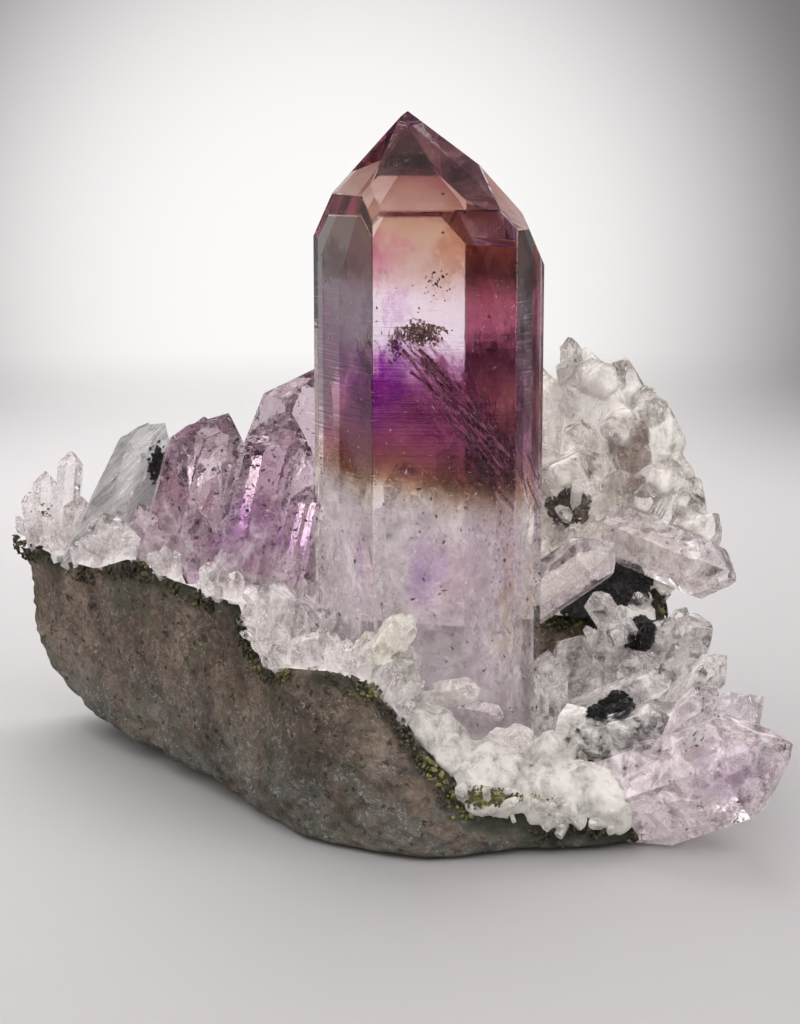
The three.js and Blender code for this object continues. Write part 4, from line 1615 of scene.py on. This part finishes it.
@dataclass
class Studio:
    """Floor, light and camera."""

    shop: Workshop
    floor_radius: float = 2.0
    floor_colour: Colour = (0.32, 0.31, 0.312)
    floor_fade: tuple[float, float] = (180.0, 480.0)
    glow_towards: Colour = (-0.026, 1.0, -0.09)
    glow_edges: tuple[float, float] = (13.5, 0.5)
    wide_edges: tuple[float, float] = (48.0, 14.0)
    left_towards: Colour = (-0.93, 0.37, 0.0)
    left_edges: tuple[float, float] = (30.0, 10.0)
    right_towards: Colour = (0.67, 0.736, -0.1)
    right_edges: tuple[float, float] = (18.0, 5.0)
    top_edges: tuple[float, float] = (0.5, 1.0)
    aim: Colour = (0.0, 0.0, 35.0)

    def floor(self) -> None:
        """Lay the pale floor, which fades out far behind the specimen."""
        shader = Shader("pale_floor")
        pale = shader.principled(self.floor_colour, 0.5)
        clear = shader.add("BsdfTransparent").outputs[0]
        far = shader.length(shader.place).step(*self.floor_fade)
        material = shader.finish(shader.blend(pale, clear, far))
        bm = bmesh.new()
        bmesh.ops.create_circle(bm, cap_ends=True, segments=96, radius=self.floor_radius)
        mesh = self.shop.keep(bm, "floor")
        mesh.materials.append(material)
        floor = link("floor", mesh)

    @staticmethod
    def lobe(
        tree: Tree, way: bpy.types.NodeSocket, towards: Sequence[float], edges: tuple[float, float]
    ) -> Value:
        """Return 1 for looks close to a direction, fading to 0 away from it.

        Args:
            tree: The world's nodes.
            way: The direction of the look.
            towards: The lobe's direction.
            edges: How many degrees from it the fade ends and begins.

        Returns:
            The mask.
        """
        dot = tree.add("VectorMath", {"operation": "DOT_PRODUCT"}, {0: way, 1: tuple(towards)})
        outer, inner = (math.cos(math.radians(edge)) for edge in edges)
        return Value(tree, dot.outputs["Value"]).step(outer, inner)

    def world(self) -> None:
        """Light the room softly, with a bright glow behind the specimen."""
        world = bpy.data.worlds.new("room")
        world.use_nodes = True
        tree = Tree(world.node_tree)
        output = tree.add("OutputWorld")
        way = tree.add("TexCoord").outputs["Generated"]
        towards = Vector(self.glow_towards).normalized()
        glow = self.lobe(tree, way, towards, self.glow_edges)
        wide = self.lobe(tree, way, towards, self.wide_edges)
        left = self.lobe(tree, way, self.left_towards, self.left_edges)
        height = Value(tree, tree.add("SeparateXYZ", {}, {0: way}).outputs[2])
        top = height.step(*self.top_edges)
        right = self.lobe(tree, way, self.right_towards, self.right_edges)
        strength = 0.08 + 0.76 * glow + 0.14 * wide + 0.4 * left + 0.16 * right + 0.6 * top
        tint = tree.mix((0.93, 0.87, 0.9), (1.0, 0.98, 0.975), glow)
        light = tree.add("Background", {}, {"Color": tint, "Strength": strength})
        tree.tree.links.new(light.outputs[0], output.inputs[0])
        bpy.context.scene.world = world

    def lamp(
        self,
        name: str,
        place: Sequence[float],
        size: float,
        power: float,
        colour: Colour,
        mirrored: bool = True,
        through: bool = False,
    ) -> None:
        """Hang a soft box that faces the specimen.

        Args:
            name: Its name.
            place: Where it hangs, in millimetres from the foot of the crystal's axis.
            size: Its side, in millimetres.
            power: Its power in watts.
            colour: Its colour.
            mirrored: Whether smooth faces reflect it.
            through: Whether it is seen through the crystals.
        """
        light = bpy.data.lights.new(name, "AREA")
        light.shape = "SQUARE"
        light.size = size * MM
        light.energy = power
        light.color = colour
        lamp = link(name, light)
        lamp.location = self.shop.at(*place) * MM
        look = self.shop.at(*self.aim) * MM - lamp.location
        lamp.rotation_euler = look.to_track_quat("-Z", "Y").to_euler()
        lamp.visible_transmission = through
        lamp.visible_glossy = mirrored

    def camera(self) -> None:
        """Set up the camera at the photograph's viewing angle."""
        data = bpy.data.cameras.new("camera")
        data.lens = View.lens
        data.sensor_fit = "VERTICAL"
        data.sensor_height = View.frame_height
        data.sensor_width = View.frame_height
        data.clip_start = 0.01
        camera = link("camera", data)
        camera.location = self.shop.at(*View.place) * MM
        camera.rotation_euler = (math.radians(90.0 - View.pitch), 0.0, 0.0)
        bpy.context.scene.camera = camera

    def build(self) -> None:
        """Set up the whole studio."""
        self.floor()
        self.world()
        self.lamp("key_box", (-260, -230, 330), 800, 4.0, (1.0, 0.98, 0.96), mirrored=False, through=True)
        self.lamp("fill_box", (300, -200, 220), 480, 1.5, (1.0, 0.98, 0.98))
        self.lamp("rim_box", (-60, 260, 270), 380, 2.6, (1.0, 1.0, 1.0), mirrored=False)
        self.camera()
        scene = bpy.context.scene
        scene.view_settings.view_transform = "Standard"
        scene.cycles.max_bounces = 16
        scene.cycles.transmission_bounces = 16
        scene.cycles.transparent_max_bounces = 24
        scene.cycles.glossy_bounces = 5
        scene.cycles.sample_clamp_indirect = 4.0
        scene.cycles.diffuse_bounces = 2
        scene.cycles.adaptive_threshold = 0.3


PALE_QUARTZ = Quartz(
    "frosted_quartz", (0.98, 0.97, 0.945), (0.84, 0.82, 0.76), 0.75, 0.35, 9.0, cloud_size=4.0,
    frost=0.4, contrast=5.0
)
ROSY_QUARTZ = Quartz("rosy_quartz", (0.965, 0.94, 0.945), (0.8, 0.74, 0.74), 0.6, 0.15, 9.0, contrast=3.5)


def clusters(shop: Workshop, voids: tuple[Patch, ...]) -> list[Cluster]:
    """Return the clusters of crystals with their finishes.

    Args:
        shop: The workshop.
        voids: The dark hollows with painted shade, which stay free of small points.

    Returns:
        The clusters.
    """
    purple = shop.seen(245, 535, ("left_amethysts", "left_druse"))[0]
    amethyst = Quartz(
        "pale_amethyst",
        (0.9, 0.85, 0.875),
        (0.56, 0.48, 0.51),
        0.5,
        -0.05,
        12.0,
        absorb=(0.84, 0.72, 0.8),
        density=100.0,
        contrast=3.4,
        patch=(0.6, 0.36, 0.7),
        patch_middle=tuple(purple + Vector((0, 3, 0))),
    )
    spot = shop.seen(738, 772, ("end_amethysts",))[0]
    lilac = Quartz(
        "lilac_quartz",
        (0.955, 0.925, 0.94),
        (0.84, 0.75, 0.78),
        0.75,
        0.2,
        12.0,
        contrast=3.6,
        patch=(0.72, 0.5, 0.78),
        patch_middle=tuple(spot),
        patch_size=(5.0, 6.0, 4.0),
    )
    grey = Quartz(
        "grey_quartz", (0.9, 0.9, 0.9), (0.4, 0.4, 0.4), 0.5, 0.3, streaks=(9.0, 6.0, 0.9),
        streak_turn=-45.0
    )
    milk = Quartz(
        "milky_quartz", (0.92, 0.905, 0.88), (0.7, 0.675, 0.64), 1.0, 0.75, frost=0.5, contrast=3.6
    )
    druse = Quartz("druse_quartz", milk=(0.8, 0.77, 0.75), root_milk=0.85, tip_milk=0.16, contrast=3.4)
    crust = Quartz("crust_quartz", (0.965, 0.955, 0.955), (0.76, 0.72, 0.715), 0.95, 0.1, 6.0, contrast=3.6)
    return [
        Cluster(shop, "left_amethysts", "pale_amethyst", amethyst, 0, specks=1300, sparks=500, seed=3),
        Cluster(shop, "grey_quartz", "grey_quartz", grey, 0, sparks=40, seed=4),
        Cluster(shop, "side_crystal", "clear_quartz", ROSY_QUARTZ, 0, seed=5),
        Cluster(shop, "point_crystal", "clear_quartz", ROSY_QUARTZ, 0, specks=40, sparks=40, seed=6),
        Cluster(shop, "end_amethysts", "pale_amethyst", lilac, 0, specks=160, sparks=120, seed=7),
        Cluster(
            shop, "upper_quartz", "frosted_quartz", PALE_QUARTZ, 60, specks=40, sparks=100, seed=8,
            voids=voids,
            grown=stout_quartz(shop), rounding=4,
        ),
        Cluster(shop, "milky_quartz", "milky_quartz", milk, 50, (0.8, 1.6), seed=9, rounding=3, lumps=0.5),
        Cluster(
            shop, "right_druse", "clear_quartz", druse, 300, specks=60, sparks=100, seed=10, voids=voids
        ),
        Cluster(shop, "front_druse", "frosted_quartz", crust, 160, sparks=40, seed=11),
        Cluster(shop, "left_druse", "clear_quartz", crust, 340, sparks=80, seed=12),
        Cluster(shop, "back_druse", "frosted_quartz", druse, 220, sparks=40, seed=13),
    ]


def shaded_hollows(shop: Workshop) -> tuple[Patch, ...]:
    """Return the grains that paint the shade in the black, sparkling hollows among the crystals.

    Args:
        shop: The workshop.

    Returns:
        The grains that paint the shade in them.
    """
    # Near-black grains: painted shade in the deepest hollows between the crystals.
    black = Grain(
        "hollow_shade_grains", (0.003, 0.003, 0.003), (0.008, 0.008, 0.008), (0.03, 0.028, 0.025), 2.0, 0.4
    )
    # Dark brown grains: painted shade under the big rounded crystals.
    recess = Grain(
        "recess_shade_grains", (0.02, 0.016, 0.013), (0.085, 0.07, 0.058), (0.3, 0.25, 0.21), 1.5, 0.35
    )
    crust = ("right_druse", "upper_quartz", "basalt_matrix")
    return (
        Patch(shop, "upper_void", (626, 581), (28, 27), crust, 900, (0.7, 1.5), black, 11),
        Patch(shop, "left_hollow", (586, 604), (26, 17), crust, 600, (0.6, 1.3), black, 20),
        Patch(shop, "right_hollow", (640, 632), (15, 17), crust, 400, (0.6, 1.2), black, 21),
        Patch(shop, "lower_void", (612, 742), (38, 42), crust, 1200, (0.8, 1.6), black, 12),
        Patch(shop, "small_void", (568, 508), (23, 18), crust, 700, (0.3, 0.9), recess, 13),
        Patch(
            shop, "left_void", (158, 466), (12, 22), ("grey_quartz", "left_druse"), 160,
            (0.5, 1.0), black, 14,
        ),
    )


def stout_quartz(shop: Workshop) -> Growth:
    """Return the blunt, worn crystals that bulge towards the viewer at the upper right.

    Args:
        shop: The workshop.

    Returns:
        The crystals, which become one solid with the frosted cluster.
    """
    places = (
        (578, 440, 9.5), (628, 432, 8.5), (597, 378, 8.0), (650, 410, 5.0), (688, 505, 6.0),
        (664, 480, 6.0), (655, 535, 6.5), (640, 455, 3.5), (566, 372, 4.0), (560, 476, 4.5),
    )
    carrier = ("upper_quartz", "right_druse")
    return Growth(
        shop, "stout_quartz", "frosted_quartz", PALE_QUARTZ, carrier, places, 31, (0.45, 0.6), 0,
        (0.1, -0.5, 0.1), 0.2
    )


def growths(shop: Workshop) -> tuple[Growth, ...]:
    """Return the crystals that are placed one by one.

    Args:
        shop: The workshop.

    Returns:
        The groups of crystals.
    """
    right = ("upper_quartz", "right_druse", "point_crystal")
    bright = (
        (562, 508, 2.2), (583, 538, 2.4), (554, 536, 2.0), (576, 500, 1.8), (603, 518, 1.6),
        (612, 510, 1.3), (598, 530, 1.2),
    )
    hollow = (
        (608, 618, 4.4), (622, 632, 3.0), (590, 626, 2.6), (641, 604, 3.2), (658, 600, 3.0),
        (588, 560, 2.2),
        (648, 560, 2.6), (602, 738, 5.6), (622, 730, 4.4), (590, 770, 2.4), (640, 768, 2.6),
        (645, 712, 2.6),
    )
    yellowish = ((316, 652, 3.5), (345, 658, 2.5), (385, 655, 4.5), (400, 675, 4.0), (372, 645, 3.0))
    lying = ((452, 690, 3.4), (478, 710, 3.0), (510, 742, 3.6))
    yellow = Quartz("yellow_quartz", (0.975, 0.965, 0.925), (0.8, 0.78, 0.7), 0.8, 0.3, 6.0, contrast=3.5)
    crust = ("front_druse", "left_druse", "milky_quartz", "phantom_crystal")
    druse = Quartz("hollow_quartz", milk=(0.8, 0.77, 0.74), root_milk=0.6, tip_milk=0.1, contrast=3.4)
    clear = Quartz("clear_tips", (0.975, 0.975, 0.965), (0.7, 0.69, 0.66), 0.3, -0.25, 4.0)
    brown = Quartz("brown_points", (0.86, 0.8, 0.76), (0.42, 0.36, 0.33), 0.6, 0.1, 6.0)
    tips = ((575, 366, 3.0), (556, 372, 2.4), (620, 374, 2.4), (638, 398, 3.0), (648, 410, 2.4))
    points = ((638, 442, 3.4), (614, 446, 2.8), (641, 470, 3.8), (622, 466, 2.6), (630, 486, 2.8))
    return (
        Growth(
            shop, "clear_tips", "clear_quartz", clear, right, tips, 36, (0.7, 1.0), 1, (0.1, -0.1, 0.9), 0.3
        ),
        Growth(
            shop, "brown_points", "frosted_quartz", brown, right, points, 37, (0.8, 1.1), 1,
            (0.05, -0.5, 0.6), 0.25,
        ),
        Growth(shop, "yellow_quartz", "frosted_quartz", yellow, crust, yellowish, 34, (0.6, 0.9), 1),
        Growth(
            shop, "lying_quartz", "clear_quartz", ROSY_QUARTZ, crust, lying, 35, (0.9, 1.2), 0,
            (0.98, -0.2, 0.1), 0.05
        ),
        Growth(shop, "bright_points", "clear_quartz", PALE_QUARTZ, right, bright, 32, (0.9, 1.2), 0),
        Growth(shop, "hollow_quartz", "clear_quartz", druse, right, hollow, 33, (0.6, 0.9), 1),
    )


def mosses(shop: Workshop) -> tuple[Patch, ...]:
    """Return the green tufts and stains on the quartz and at its contact to the stone.

    Args:
        shop: The workshop.

    Returns:
        The tufts and stains.
    """
    moss = Grain("green_tuft", (0.02, 0.02, 0.008), (0.075, 0.07, 0.02), (0.32, 0.28, 0.05), 1.5)
    front = ("milky_quartz", "basalt_matrix")
    return (
        Patch(shop, "green_tuft", (484, 797), (33, 12), front, 420, (0.25, 0.6), moss, 15),
        Patch(shop, "green_branch", (540, 797), (18, 4), ("milky_quartz",), 30, (0.2, 0.5), moss, 16),
        Patch(
            shop, "bright_moss", (120, 570), (12, 7), ("basalt_matrix", "left_druse"), 60,
            (0.3, 0.8), moss, 17,
        ),
        Patch(
            shop, "left_stain", (44, 510), (9, 8), ("left_druse", "basalt_matrix"), 24, (0.2, 0.5), moss, 18
        ),
        Patch(shop, "notch_moss", (256, 625), (7, 34), ("basalt_matrix",), 120, (0.3, 0.9), moss, 19),
    )


def main() -> None:
    """Build the specimen and its studio."""
    shop = Workshop()
    Stone(shop).build()
    TallCrystal(shop).build()
    voids = shaded_hollows(shop)
    for cluster in clusters(shop, voids):
        cluster.build()
    for patch in (*voids, *mosses(shop)):
        patch.build()
    for growth in growths(shop):
        growth.build()
    Studio(shop).build()


if __name__ == "__main__":
    logging.basicConfig(level=logging.INFO, format="%(message)s")
    main()
